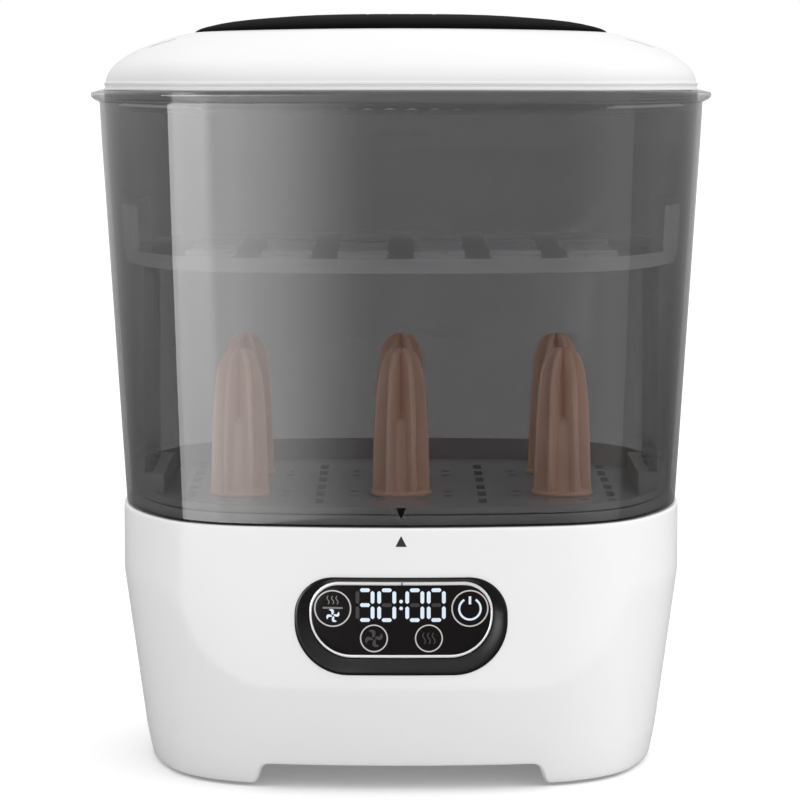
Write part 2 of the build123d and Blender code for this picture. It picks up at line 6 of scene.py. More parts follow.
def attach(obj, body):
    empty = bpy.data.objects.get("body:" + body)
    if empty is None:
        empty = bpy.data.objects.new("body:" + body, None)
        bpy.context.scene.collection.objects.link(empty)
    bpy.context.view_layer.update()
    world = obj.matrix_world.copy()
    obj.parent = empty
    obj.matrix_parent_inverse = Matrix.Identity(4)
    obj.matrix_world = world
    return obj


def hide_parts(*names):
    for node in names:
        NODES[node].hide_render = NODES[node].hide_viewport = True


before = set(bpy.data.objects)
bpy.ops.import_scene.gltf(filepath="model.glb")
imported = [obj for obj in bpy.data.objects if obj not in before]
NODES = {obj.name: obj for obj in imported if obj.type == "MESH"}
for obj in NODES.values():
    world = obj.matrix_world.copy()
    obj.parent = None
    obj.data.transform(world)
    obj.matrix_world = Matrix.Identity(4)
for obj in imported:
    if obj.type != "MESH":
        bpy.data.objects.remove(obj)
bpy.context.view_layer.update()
MM = 0.001

# ------------------------------------------------------------------ sizes, as in the CAD (mm)
FLOOR_GAP, SEAM_Z, SLEEVE_TOP = 1.4, 124.0, 318.6
BASE_A, BASE_B = 134.7, 121.3
FOOT_A, FOOT_B = 121.0, 107.0
SLV0, SLV1 = (133.2, 119.8), (145.8, 132.2)
FLANGE_A, FLANGE_B = 149.8, 136.2
SLEEVE_T = 2.6
TRAY_FLOOR, POST_TOP, POST_PX, POST_Y = 131.0, 201.0, 77.0, 44.0
PANEL_X, PANEL_Z0, PANEL_Z1 = 49.1, 56.0, 101.0


# ------------------------------------------------------------------ plan outline
def outline(a, b, th, r1=360.0, r2=170.0, rc=60.0):
    """Radius of the eight-arc plan at polar angles th (array)."""
    r1, r2 = max(r1, b * 1.6, a * 1.3), max(r2, a * 1.02, b * 1.12)
    rc = min(rc, 0.62 * min(a, b))
    c1 = np.array([0.0, b - r1]); c2 = np.array([a - r2, 0.0])
    d1, d2 = r1 - rc, r2 - rc
    dv = c2 - c1; ln = math.hypot(*dv)
    k = (d1 * d1 - d2 * d2 + ln * ln) / (2 * ln)
    h = math.sqrt(max(d1 * d1 - k * k, 0.0)); u = dv / ln
    c = None
    for s in (1, -1):
        q = np.array([c1[0] + u[0] * k - u[1] * h * s, c1[1] + u[1] * k + u[0] * h * s])
        if q[0] > 0 and q[1] > 0:
            c = q; break
    v1 = (c - c1) / d1; v2 = (c - c2) / d2
    p1 = c1 + r1 * v1; p2 = c2 + r2 * v2
    t1 = math.atan2(p1[1], p1[0]); t2 = math.atan2(p2[1], p2[0])
    x, y = np.abs(np.cos(th)), np.abs(np.sin(th))
    q = np.arctan2(y, x)

    def hit(cen, r):
        uc = x * cen[0] + y * cen[1]
        return uc + np.sqrt(np.maximum(uc * uc - cen @ cen + r * r, 0))
    return np.where(q > t1, hit(c1, r1), np.where(q < t2, hit(c2, r2), hit(c, rc)))


def angles(n=384, extra=True):
    """Polar angles, closer together at the corners and at the ends of the skirt's arches."""
    t = np.linspace(0, 2 * math.pi, n, endpoint=False)
    if extra:
        e = np.radians(np.linspace(52.5, 62.5, 34))
        t = np.concatenate([t, e, math.pi - e, math.pi + e, 2 * math.pi - e])
    t = np.unique(np.round(t % (2 * math.pi), 7))
    keep = [t[0]]
    for v in t[1:]:
        if v - keep[-1] > 0.0016:
            keep.append(v)
    return np.array(keep)


def smooth(r, th, n=40):
    """Softens the tangent joints of the arcs a little, so that reflections run on."""
    full = np.linspace(0, 2 * math.pi, 1440, endpoint=False)
    rr = np.interp(full, np.append(th, th[0] + 2 * math.pi), np.append(r, r[0]))
    f = np.fft.rfft(rr)
    w = np.exp(-((np.arange(len(f)) / float(n)) ** 4))
    rr = np.fft.irfft(f * w, 1440)
    return np.interp(th, np.append(full, 2 * math.pi), np.append(rr, rr[0]))


# ------------------------------------------------------------------ mesh helpers
def add_obj(name, verts, faces, mat, body, replaces=(), sharp=None, smooth_all=True):
    me = bpy.data.meshes.new(name)
    me.from_pydata([tuple(v) for v in verts], [], faces)
    me.validate()
    ob = bpy.data.objects.new(name, me)
    bpy.context.scene.collection.objects.link(ob)
    finish_mesh(ob, mat, sharp, smooth_all)
    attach(ob, body)
    if replaces:
        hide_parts(*replaces)
    return ob


def finish_mesh(ob, mat, sharp=None, smooth_all=True):
    me = ob.data
    bm = bmesh.new(); bm.from_mesh(me)
    bmesh.ops.recalc_face_normals(bm, faces=bm.faces)
    bm.to_mesh(me); bm.free()
    me.polygons.foreach_set("use_smooth", [smooth_all] * len(me.polygons))
    if sharp is not None:
        me.set_sharp_from_angle(angle=math.radians(sharp))
    if mat is not None:
        me.materials.clear(); me.materials.append(mat)


def rings_mesh(rings, close_loop=False, cap0=False, cap1=False):
    """Quads between rings of equal length; cap0 and cap1 close the first and last ring to a point."""
    n = len(rings[0]); m = len(rings)
    verts = [p for r in rings for p in r]; faces = []
    last = m if close_loop else m - 1
    for i in range(last):
        j = (i + 1) % m
        for k in range(n):
            k2 = (k + 1) % n
            faces.append((i * n + k, i * n + k2, j * n + k2, j * n + k))
    for ring, flag in ((0, cap0), (m - 1, cap1)):
        if flag:
            c = np.mean([verts[ring * n + k] for k in range(n)], axis=0)
            verts.append(tuple(c)); ci = len(verts) - 1
            for k in range(n):
                faces.append((ring * n + k, ring * n + (k + 1) % n, ci))
    return verts, faces


def ring_pts(r, th, z):
    zz = np.broadcast_to(z, r.shape)
    return np.stack([r * np.cos(th), r * np.sin(th), zz], 1) * MM


def cut(ob, cutter, op="DIFFERENCE"):
    md = ob.modifiers.new("cut", "BOOLEAN"); md.operation = op; md.object = cutter; md.solver = "EXACT"
    dg = bpy.context.evaluated_depsgraph_get()
    me = bpy.data.meshes.new_from_object(ob.evaluated_get(dg), depsgraph=dg)
    ob.modifiers.clear(); old = ob.data; ob.data = me
    bpy.data.objects.remove(cutter)
    return ob


def raw_obj(name, verts, faces):
    me = bpy.data.meshes.new(name); me.from_pydata([tuple(v) for v in verts], [], faces)
    ob = bpy.data.objects.new(name, me); bpy.context.scene.collection.objects.link(ob)
    bm = bmesh.new(); bm.from_mesh(me); bmesh.ops.recalc_face_normals(bm, faces=bm.faces); bm.to_mesh(me); bm.free()
    return ob


def capsule(hw, z0, z1, rt, rb, k=14, line=8):
    """Points (x, z) of a flat-sided capsule, the same count for any size."""
    pts = []
    for cx, cz, r, a0 in ((hw - rt, z1 - rt, rt, 0), (-hw + rt, z1 - rt, rt, 90), (-hw + rb, z0 + rb, rb, 180), (hw - rb, z0 + rb, rb, 270)):
        for i in range(k + 1):
            t = math.radians(a0 + 90.0 * i / k)
            pts.append((cx + r * math.cos(t), cz + r * math.sin(t)))
    out = []
    n = len(pts)
    for i in range(n):
        p, q = pts[i], pts[(i + 1) % n]
        out.append(p)
        if (i + 1) % (k + 1) == 0:
            for j in range(1, line):
                f = j / line
                out.append((p[0] + (q[0] - p[0]) * f, p[1] + (q[1] - p[1]) * f))
    return np.array(out)


def prism_y(pts, y0, y1, name="cutter"):
    n = len(pts)
    v = [(x * MM, y0 * MM, z * MM) for x, z in pts] + [(x * MM, y1 * MM, z * MM) for x, z in pts]
    f = [tuple(range(n)), tuple(range(2 * n - 1, n - 1, -1))] + [(i, (i + 1) % n, n + (i + 1) % n, n + i) for i in range(n)]
    return raw_obj(name, v, f)


def prism_z(pts, z0, z1, name="cutter"):
    n = len(pts)
    v = [(x * MM, y * MM, z0 * MM) for x, y in pts] + [(x * MM, y * MM, z1 * MM) for x, y in pts]
    f = [tuple(range(n)), tuple(range(2 * n - 1, n - 1, -1))] + [(i, (i + 1) % n, n + (i + 1) % n, n + i) for i in range(n)]
    return raw_obj(name, v, f)


def front_y(x, off=0.0):
    """y (mm) of the front wall's surface at x, off mm under it."""
    b = BASE_B - off
    return -((b - 360.0) + np.sqrt(360.0 ** 2 - np.asarray(x, float) ** 2))


# ------------------------------------------------------------------ materials
def new_mat(name):
    m = bpy.data.materials.new(name); m.use_nodes = True
    nt = m.node_tree
    for n in list(nt.nodes):
        if n.type not in ("BSDF_PRINCIPLED", "OUTPUT_MATERIAL"):
            nt.nodes.remove(n)
    return m, nt, nt.nodes["Principled BSDF"]


def node(nt, kind, **kw):
    n = nt.nodes.new(kind)
    for k, v in kw.items():
        if k.startswith("i_"):
            key = k[2:]
            n.inputs[int(key) if key.isdigit() else key.replace("_", " ")].default_value = v
        else:
            setattr(n, k, v)
    return n


def plastic(name, col, rough=0.2, rough_var=0.05, grain=900.0, bump=0.02, bump_dist=0.00002, coat=0.0, coat_rough=0.05, col_var=0.03,
            ior=1.5, edge=None, metallic=0.0, spec=0.5, sub=0.0, swirl=18.0):
    """Moulded plastic: fine surface grain, soft large-scale colour and gloss variation, and softened edges."""
    m, nt, p = new_mat(name)
    tc = node(nt, "ShaderNodeTexCoord")
    big = node(nt, "ShaderNodeTexNoise", i_Scale=swirl, i_Detail=3.0)
    fine = node(nt, "ShaderNodeTexNoise", i_Scale=grain, i_Detail=2.0)
    nt.links.new(tc.outputs["Object"], big.inputs["Vector"]); nt.links.new(tc.outputs["Object"], fine.inputs["Vector"])
    ramp = node(nt, "ShaderNodeMix", data_type="RGBA")
    c = np.array(col)
    ramp.inputs[6].default_value = (*(c * (1 - col_var)), 1); ramp.inputs[7].default_value = (*np.minimum(c * (1 + col_var), 1), 1)
    nt.links.new(big.outputs["Fac"], ramp.inputs[0]); nt.links.new(ramp.outputs[2], p.inputs["Base Color"])
    mr = node(nt, "ShaderNodeMapRange", i_3=max(rough - rough_var, 0.01), i_4=rough + rough_var)
    mix = node(nt, "ShaderNodeMath", operation="ADD"); half = node(nt, "ShaderNodeMath", operation="MULTIPLY", i_1=0.5)
    nt.links.new(big.outputs["Fac"], mix.inputs[0]); nt.links.new(fine.outputs["Fac"], mix.inputs[1])
    nt.links.new(mix.outputs[0], half.inputs[0]); nt.links.new(half.outputs[0], mr.inputs[0])
    nt.links.new(mr.outputs[0], p.inputs["Roughness"])
    bp = node(nt, "ShaderNodeBump", i_Strength=bump, i_Distance=bump_dist)
    nt.links.new(fine.outputs["Fac"], bp.inputs["Height"])
    if edge:
        bv = node(nt, "ShaderNodeBevel", samples=4, i_Radius=edge * MM)
        nt.links.new(bv.outputs[0], bp.inputs["Normal"])
    nt.links.new(bp.outputs[0], p.inputs["Normal"])
    p.inputs["Metallic"].default_value = metallic
    p.inputs["IOR"].default_value = ior
    p.inputs["Specular IOR Level"].default_value = spec
    p.inputs["Coat Weight"].default_value = coat; p.inputs["Coat Roughness"].default_value = coat_rough
    if sub:
        p.inputs["Subsurface Weight"].default_value = sub
        p.inputs["Subsurface Radius"].default_value = (0.004, 0.004, 0.004)
    return m


def clear_tint(name, tint, edge_tint, rough=0.03, gloss=0.5, ior=1.49, wave=0.0, frost=0.0, frost_col=(0.5, 0.5, 0.5), lamps=0.0):
    """Thin tinted clear plastic: what is behind shows through a tint that deepens where the wall is seen edge on, with a clear gloss."""
    m = bpy.data.materials.new(name); m.use_nodes = True
    nt = m.node_tree; nt.nodes.clear()
    out = node(nt, "ShaderNodeOutputMaterial")
    tr = node(nt, "ShaderNodeBsdfTransparent")
    gl = node(nt, "ShaderNodeBsdfGlossy", i_Color=(1, 1, 1, 1), i_Roughness=rough)
    lw = node(nt, "ShaderNodeLayerWeight", i_Blend=0.5)
    mr = node(nt, "ShaderNodeMapRange", i_1=0.55, i_2=0.98, i_3=0.0, i_4=1.0)
    mr.interpolation_type = "SMOOTHSTEP"
    nt.links.new(lw.outputs["Facing"], mr.inputs[0])
    cm = node(nt, "ShaderNodeMix", data_type="RGBA")
    cm.inputs[6].default_value = (*tint, 1); cm.inputs[7].default_value = (*edge_tint, 1)
    nt.links.new(mr.outputs[0], cm.inputs[0])
    tc = node(nt, "ShaderNodeTexCoord"); nz = node(nt, "ShaderNodeTexNoise", i_Scale=14.0, i_Detail=2.0)
    nt.links.new(tc.outputs["Object"], nz.inputs["Vector"])
    nm = node(nt, "ShaderNodeMapRange", i_3=0.97, i_4=1.03)
    nt.links.new(nz.outputs["Fac"], nm.inputs[0])
    vm = node(nt, "ShaderNodeVectorMath", operation="SCALE")
    nt.links.new(cm.outputs[2], vm.inputs[0]); nt.links.new(nm.outputs[0], vm.inputs["Scale"])
    if lamps:
        pth = node(nt, "ShaderNodeLightPath")
        ad = node(nt, "ShaderNodeMath", operation="MAXIMUM")
        lm = node(nt, "ShaderNodeMix", data_type="RGBA"); lm.inputs[7].default_value = (lamps, lamps, lamps, 1)
        nt.links.new(pth.outputs["Is Shadow Ray"], ad.inputs[0]); nt.links.new(pth.outputs["Is Diffuse Ray"], ad.inputs[1])
        nt.links.new(ad.outputs[0], lm.inputs[0]); nt.links.new(vm.outputs[0], lm.inputs[6]); nt.links.new(lm.outputs[2], tr.inputs["Color"])
    else:
        nt.links.new(vm.outputs[0], tr.inputs["Color"])
    fp5 = node(nt, "ShaderNodeMath", operation="POWER", i_1=5.0)
    fr = node(nt, "ShaderNodeMath", operation="MULTIPLY_ADD", i_1=0.95, i_2=((ior - 1) / (ior + 1)) ** 2)
    nt.links.new(lw.outputs["Facing"], fp5.inputs[0]); nt.links.new(fp5.outputs[0], fr.inputs[0])
    if wave:
        wv = node(nt, "ShaderNodeTexNoise", i_Scale=6.0, i_Detail=1.0)
        nt.links.new(tc.outputs["Object"], wv.inputs["Vector"])
        bp = node(nt, "ShaderNodeBump", i_Strength=wave, i_Distance=0.001)
        nt.links.new(wv.outputs["Fac"], bp.inputs["Height"])
        nt.links.new(bp.outputs[0], gl.inputs["Normal"])
    src = tr
    if frost:
        df = node(nt, "ShaderNodeBsdfDiffuse", i_Color=(*frost_col, 1))
        fm = node(nt, "ShaderNodeMixShader", i_Fac=frost)
        nt.links.new(tr.outputs[0], fm.inputs[1]); nt.links.new(df.outputs[0], fm.inputs[2])
        src = fm
    mx = node(nt, "ShaderNodeMixShader")
    gs = node(nt, "ShaderNodeMath", operation="MULTIPLY", i_1=gloss)
    nt.links.new(fr.outputs[0], gs.inputs[0]); nt.links.new(gs.outputs[0], mx.inputs[0])
    nt.links.new(src.outputs[0], mx.inputs[1]); nt.links.new(gl.outputs[0], mx.inputs[2])
    nt.links.new(mx.outputs[0], out.inputs["Surface"])
    return m


def emissive(name, col, strength, base=(0.02, 0.02, 0.02)):
    m, nt, p = new_mat(name)
    tc = node(nt, "ShaderNodeTexCoord"); nz = node(nt, "ShaderNodeTexNoise", i_Scale=260.0, i_Detail=1.0)
    nt.links.new(tc.outputs["Object"], nz.inputs["Vector"])
    mr = node(nt, "ShaderNodeMapRange", i_3=strength * 0.9, i_4=strength * 1.1)
    nt.links.new(nz.outputs["Fac"], mr.inputs[0]); nt.links.new(mr.outputs[0], p.inputs["Emission Strength"])
    p.inputs["Base Color"].default_value = (*base, 1)
    p.inputs["Emission Color"].default_value = (*col, 1)
    p.inputs["Roughness"].default_value = 0.4
    return m


WHITE = plastic("white_gloss_plastic", (0.76, 0.76, 0.76), rough=0.22, rough_var=0.03, grain=1400, bump=0.02, coat=0.0, col_var=0.006, edge=None, spec=0.10)
LIDW = plastic("white_lid_plastic", (0.685, 0.685, 0.685), rough=0.22, rough_var=0.03, grain=1400, bump=0.02, coat=0.0, col_var=0.006, edge=None, spec=0.10)
WHITE_E = plastic("white_gloss_edges", (0.76, 0.76, 0.76), rough=0.22, rough_var=0.03, grain=1400, bump=0.03, coat=0.0, col_var=0.006, edge=0.5, spec=0.10)
INSERT = plastic("dark_insert_plastic", (0.004, 0.004, 0.0043), rough=0.6, rough_var=0.05, grain=1600, bump=0.05, col_var=0.1, edge=None, ior=1.15, spec=0.05)
LINER = plastic("liner_plastic", (0.38, 0.38, 0.385), rough=0.3, rough_var=0.05, grain=1200, bump=0.05, col_var=0.05, edge=0.4)
SLEEVE = clear_tint("smoke_sleeve", (0.530, 0.530, 0.533), (0.29, 0.29, 0.293), rough=0.02, gloss=0.9, wave=0.02, lamps=0.97)
FLANGE = clear_tint("smoke_flange", (0.80, 0.80, 0.805), (0.60, 0.60, 0.605), rough=0.04, gloss=0.8)
ULEG = clear_tint("smoke_leg", (0.86, 0.86, 0.865), (0.70, 0.70, 0.705), rough=0.10, gloss=0.3, frost=0.10, frost_col=(0.5, 0.5, 0.505))
RIB = clear_tint("frosted_rib", (0.9, 0.9, 0.9), (0.85, 0.85, 0.85), rough=0.2, gloss=0.5, frost=0.75, frost_col=(0.82, 0.82, 0.83))
# Light, nearly clear tint for the ridges round the sleeve's arrow: a painted highlight on the embossed ridges' edges.
RIDGE_HIGHLIGHT_TINT = clear_tint("smoke_ridge_painted_highlight", (0.92, 0.92, 0.92), (0.8, 0.8, 0.8), rough=0.3, gloss=0.8, frost=0.04, frost_col=(0.3, 0.3, 0.3))
# Near-black tint for the sleeve's lower lip: painted shade of the seam gap where the sleeve sits on the base.
SEAM_SHADE_TINT = clear_tint("smoke_seam_painted_shade", (0.10, 0.10, 0.10), (0.05, 0.05, 0.05), rough=0.1, gloss=0.6)
RIM = clear_tint("smoke_rim", (0.42, 0.42, 0.43), (0.3, 0.3, 0.3), rough=0.04, gloss=0.9)
UTRAY = clear_tint("smoke_tray", (0.90, 0.90, 0.905), (0.82, 0.82, 0.825), rough=0.10, gloss=0.3, frost=0.30, frost_col=(0.92, 0.92, 0.925))
BTRAY = plastic("bottle_tray_plastic", (0.32, 0.32, 0.324), rough=0.3, rough_var=0.06, grain=1300, bump=0.05, col_var=0.06, edge=0.5)
POST = plastic("terracotta_post", (0.77, 0.50, 0.385), rough=0.33, rough_var=0.06, grain=1100, bump=0.06, col_var=0.10, swirl=60.0, sub=0.05)
BEZEL = plastic("piano_black_bezel", (0.008, 0.008, 0.0085), rough=0.2, rough_var=0.03, grain=1500, bump=0.02, coat=0.0, col_var=0.08, spec=0.38)
PANEL = plastic("panel_glass", (0.0085, 0.007, 0.0072), rough=0.3, rough_var=0.03, grain=2000, bump=0.01, coat=0.0, col_var=0.05, spec=0.08)
TRIM = plastic("bright_trim", (0.84, 0.84, 0.85), rough=0.26, rough_var=0.05, grain=1600, bump=0.02, metallic=0.3, col_var=0.02)
# Near-black with almost no gloss: painted shade on the bezel's outer edge and inner wall, and the dark print of the
# sleeve's arrow.
SHADE_AND_PRINT_BLACK = plastic("painted_shade_and_print_black", (0.002, 0.002, 0.002), rough=0.6, rough_var=0.05, grain=1500, bump=0.02, col_var=0.1, spec=0.04)
PRINT = plastic("black_print", (0.01, 0.01, 0.01), rough=0.5, rough_var=0.05, grain=2500, bump=0.05, col_var=0.1)
RUBBER = plastic("grey_rubber", (0.07, 0.07, 0.072), rough=0.75, rough_var=0.08, grain=1500, bump=0.3, col_var=0.08, edge=0.5)
SILI = plastic("silicone", (0.30, 0.30, 0.31), rough=0.6, rough_var=0.06, grain=1200, bump=0.1, col_var=0.05, edge=0.2, sub=0.1)
UNDER = plastic("underside_plastic", (0.72, 0.72, 0.72), rough=0.5, rough_var=0.08, grain=700, bump=0.25, col_var=0.03, edge=0.6)
STEEL = plastic("spun_steel", (0.58, 0.58, 0.59), rough=0.24, rough_var=0.08, grain=500, bump=0.08, metallic=1.0, col_var=0.06, edge=0.4, swirl=40)
ALU = plastic("cast_aluminium", (0.52, 0.52, 0.53), rough=0.42, rough_var=0.1, grain=600, bump=0.25, metallic=1.0, col_var=0.08, edge=0.4)
BRASS = plastic("contact_brass", (0.66, 0.48, 0.18), rough=0.3, rough_var=0.08, grain=900, bump=0.1, metallic=1.0, col_var=0.08, edge=0.3)
INNER = plastic("grey_abs", (0.34, 0.34, 0.345), rough=0.45, rough_var=0.08, grain=800, bump=0.2, col_var=0.05, edge=0.5)
BLACKP = plastic("black_abs", (0.03, 0.03, 0.03), rough=0.4, rough_var=0.08, grain=900, bump=0.15, col_var=0.1, edge=0.4)
PCB = plastic("solder_mask", (0.02, 0.12, 0.055), rough=0.35, rough_var=0.08, grain=600, bump=0.1, col_var=0.15, edge=0.2, swirl=120)
PAPER = plastic("filter_paper", (0.80, 0.79, 0.76), rough=0.9, rough_var=0.05, grain=500, bump=0.6, bump_dist=0.0001, col_var=0.06, edge=None)
COMP = plastic("white_nylon", (0.70, 0.70, 0.68), rough=0.5, rough_var=0.08, grain=800, bump=0.15, col_var=0.04, edge=0.4)
BROWN = plastic("brown_insulation", (0.16, 0.06, 0.025), rough=0.5, grain=800, bump=0.1, col_var=0.1)
BLUE = plastic("blue_insulation", (0.03, 0.10, 0.32), rough=0.5, grain=800, bump=0.1, col_var=0.1)
COPPER = plastic("sensor_film", (0.5, 0.32, 0.16), rough=0.45, grain=900, bump=0.1, col_var=0.1)
LIT = emissive("display_lit", (0.76, 0.88, 1.0), 0.78, base=(0.12, 0.13, 0.14))
MARK = emissive("panel_mark", (0.80, 0.77, 0.75), 0.32, base=(0.28, 0.27, 0.265))
DIM = emissive("display_dim", (0.5, 0.43, 0.45), 0.034, base=(0.018, 0.015, 0.016))
GREYMARK = emissive("panel_mark_grey", (0.6, 0.57, 0.58), 0.02, base=(0.03, 0.028, 0.029))
HALFMARK = emissive("panel_mark_half", (0.7, 0.68, 0.67), 0.12, base=(0.11, 0.105, 0.10))

CAD_MATS = {
    "base_deck": WHITE_E, "filter_cover": WHITE_E, "lid_liner": LINER, "lid_seal": SILI, "basin_gasket": SILI,
    "bottle_tray": BTRAY, "top_deck": BTRAY, "upper_tray": UTRAY, "upper_tray_legs": ULEG, "panel_trim_ring": TRIM, "touch_foil": COPPER,
    "display_module": BLACKP, "control_board": PCB, "control_board_parts": BLACKP, "panel_bracket": INNER, "panel_screws": STEEL,
    "bottom_screws": STEEL, "lid_screws": STEEL, "bottom_plate": UNDER, "rubber_feet": RUBBER, "heating_basin": STEEL,
    "heater_element": ALU, "heater_terminals": BRASS, "thermostat": ALU, "thermal_fuse": COMP, "fan_scroll": INNER,
    "scroll_cover": INNER, "fan_impeller": BLACKP, "motor_shaft": STEEL, "fan_motor": ALU, "air_duct": INNER, "air_heater": ALU,
    "air_outlet_grille": BTRAY, "filter_pocket": INNER, "filter_frame": COMP, "filter_media": PAPER, "power_board": PCB,
    "power_board_parts": BLACKP, "board_standoffs": BRASS, "power_inlet": BLACKP, "inlet_pins": BRASS, "mains_wire_live": BROWN,
    "mains_wire_neutral": BLUE, "base_housing": WHITE_E, "lid_shell": WHITE_E, "lid_insert": INSERT, "sleeve": SLEEVE,
    "sleeve_pointer": PRINT, "base_pointer": PRINT, "bottle_posts_front": POST, "bottle_posts_rear": POST, "panel_bezel": BEZEL,
    "touch_panel": PANEL,
}
for n, o in NODES.items():
    mt = CAD_MATS.get(n, INNER)
    o.data.materials.clear(); o.data.materials.append(mt)

# ------------------------------------------------------------------ base shell
TH = angles()


def arch_z(x):
    """Height of the skirt's lower edge at x: feet at the corners, a shallow arch between them."""
    ax = np.abs(x)
    pts = [(0, 11.4), (60.5, 11.4), (62.6, 11.1), (64.2, 10.2), (65.4, 8.8), (66.6, 6.6), (67.8, 4.2), (68.7, 2.7), (69.6, 1.9), (70.9, 1.45), (72.5, FLOOR_GAP), (200, FLOOR_GAP)]
    return np.interp(ax, [p[0] for p in pts], [p[1] for p in pts])


def lower_ab(z):
    pts = [(0.0, FOOT_A - 2.0, FOOT_B - 2.2), (1.4, FOOT_A, FOOT_B), (6.0, 122.2, 108.6), (16.0, 124.2, 111.6), (130.0, 140.0, 145.0)]
    zz = [p[0] for p in pts]
    return float(np.interp(z, zz, [p[1] for p in pts])), float(np.interp(z, zz, [p[2] for p in pts]))


_lc = {}


def base_r(z_arr, th, inset=0.0):
    """Radius of the base wall at heights z_arr (one per angle)."""
    out = np.empty_like(th)
    ru = smooth(outline(BASE_A, BASE_B, th), th)
    zs = np.linspace(0.0, 130.0, 66)
    if "tab" not in _lc:
        _lc["tab"] = np.array([smooth(outline(*lower_ab(z), th), th) for z in zs])
    tab = _lc["tab"]
    f = np.clip(z_arr / 130.0 * 65, 0, 64.999); i = f.astype(int); w = f - i
    k = np.arange(len(th))
    rl = tab[i, k] * (1 - w) + tab[i + 1, k] * w
    kk = 0.5
    h = np.clip(0.5 + 0.5 * (rl - ru) / kk, 0, 1)
    r = rl * (1 - h) + ru * h - kk * h * (1 - h)
    return r - inset


def base_shell():
    th = TH
    x_at = base_r(np.full_like(th, 5.0), th) * np.cos(th)
    # front and back only: the side walls reach the floor
    zb = np.where(np.abs(np.sin(th)) > 0.5, arch_z(x_at), FLOOR_GAP)
    top = SEAM_Z
    rings = []
    # bottom edge, rounded
    for inset, dz in ((3.0, 0.9), (2.6, 0.25), (1.9, 0.0), (1.1, 0.0), (0.5, 0.15), (0.12, 0.5), (0.0, 1.0)):
        rings.append(ring_pts(base_r(zb + dz, th, inset), th, zb + dz))
    ts = np.linspace(0, 1, 78)[1:]
    for t in ts:
        z = zb + 1.0 + (top - 1.1 - zb - 1.0) * t
        rings.append(ring_pts(base_r(z, th), th, z))
    for inset, z in ((0.08, top - 0.7), (0.35, top - 0.25), (0.8, top - 0.02), (1.2, top), (2.6, top), (3.0, top - 0.4)):
        rings.append(ring_pts(base_r(np.full_like(th, z), th, inset), th, z))
    for t in np.linspace(0, 1, 24)[1:-1]:
        z = (top - 0.4) * (1 - t) + (zb + 0.9) * t
        rings.append(ring_pts(base_r(z, th, 3.0), th, z))
    v, f = rings_mesh(rings, close_loop=True)
    ob = raw_obj("base_shell", v, f)
    cut(ob, prism_y(capsule(PANEL_X + 0.05, PANEL_Z0 - 0.25, PANEL_Z1 + 0.25, 17.85, 24.65, k=20), -150, -100))
    cut(ob, prism_y(np.array([(-74, 32), (-2, 32), (-2, 86), (-74, 86)]), 95, 150))
    cut(ob, prism_y(np.array([(20, 58), (46, 58), (46, 78), (20, 78)]), 95, 150))
    finish_mesh(ob, WHITE, 28)
    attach(ob, "base"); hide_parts("base_housing")
    return ob


base_shell()

# ------------------------------------------------------------------ sleeve
THS = angles(360, extra=False)


def slv_ab(z, inset=0.0):
    f = (z - SEAM_Z) / (SLEEVE_TOP - SEAM_Z)
    return SLV0[0] + f * (SLV1[0] - SLV0[0]) - inset, SLV0[1] + f * (SLV1[1] - SLV0[1]) - inset


def bow(z, th):
    """Rise of the lid's rim and the sleeve's top edge towards the front and back; fades out above and below the rim."""
    k = 2.4 + 3.35 * np.abs(np.sin(th)) ** 0.6
    if z < 318.6:
        f = min(max((z - 296.0) / 22.6, 0.0), 1.0)
    else:
        f = 1.0 - min(max((z - 319.0) / 24.0, 0.0), 1.0)
    return k * f * f * (3 - 2 * f)


def slv_ring(z, inset):
    a, b = slv_ab(z, 0.0)
    r = smooth(outline(a, b, THS), THS) - inset
    return ring_pts(r, THS, z + bow(z, THS))


def sleeve():
    rings = [slv_ring(SEAM_Z + 0.3, 2.3), slv_ring(SEAM_Z + 0.3, 0.5), slv_ring(SEAM_Z + 0.5, 0.15), slv_ring(SEAM_Z + 1.0, 0.0), slv_ring(SEAM_Z + 1.3, 0.0)]
    for z in np.linspace(SEAM_Z + 6, 313.6, 24):
        rings.append(slv_ring(z, 0.0))
    flange_at = len(rings)
    for z, o in ((313.9, 0.0), (314.3, 0.35), (314.9, 1.7), (315.5, 3.0), (316.2, 3.75), (317.0, 4.0), (317.8, 3.95), (318.3, 3.6), (318.6, 2.9), (318.65, 1.2)):
        rings.append(slv_ring(z, -o))
    flange_end = len(rings) - 1
    rings += [slv_ring(318.6, 2.0), slv_ring(318.2, 2.55)]
    for z in np.linspace(316, SEAM_Z + 0.9, 24):
        rings.append(slv_ring(z, SLEEVE_T))
    v, f = rings_mesh(rings, close_loop=True)
    ob = add_obj("sleeve_shell", v, f, SLEEVE, "sleeve", ("sleeve",), sharp=50)
    ob.data.materials.append(SEAM_SHADE_TINT); ob.data.materials.append(FLANGE)
    # The lower lip takes the near-black tint, painted shade of the seam gap over the base; the flange rings take the
    # flange tint.
    for pl in ob.data.polygons:
        if pl.center.z < (SEAM_Z + 1.2) * MM:
            pl.material_index = 1
        elif flange_at <= pl.index // len(THS) < flange_end:
            pl.material_index = 2
    return ob


sleeve()


# ------------------------------------------------------------------ lid
LID_SECT = [(142.9, 319.0), (143.25, 319.12), (143.4, 319.4), (143.38, 319.9), (143.2, 320.2), (142.9, 320.35), (142.65, 320.6), (142.6, 321.5), (142.75, 321.75),
            (143.1, 321.95), (143.22, 322.4), (143.12, 323.1), (142.8, 323.5), (142.5, 323.65), (142.35, 324.0), (142.25, 325.0), (141.95, 326.4), (141.4, 328.2), (140.6, 330.0), (139.5, 331.9),
            (137.6, 334.4), (135.0, 336.8), (132.2, 338.8), (129.0, 340.7), (125.0, 342.5), (119.3, 344.4), (112.3, 346.3), (106.0, 347.8), (102.5, 348.5)]


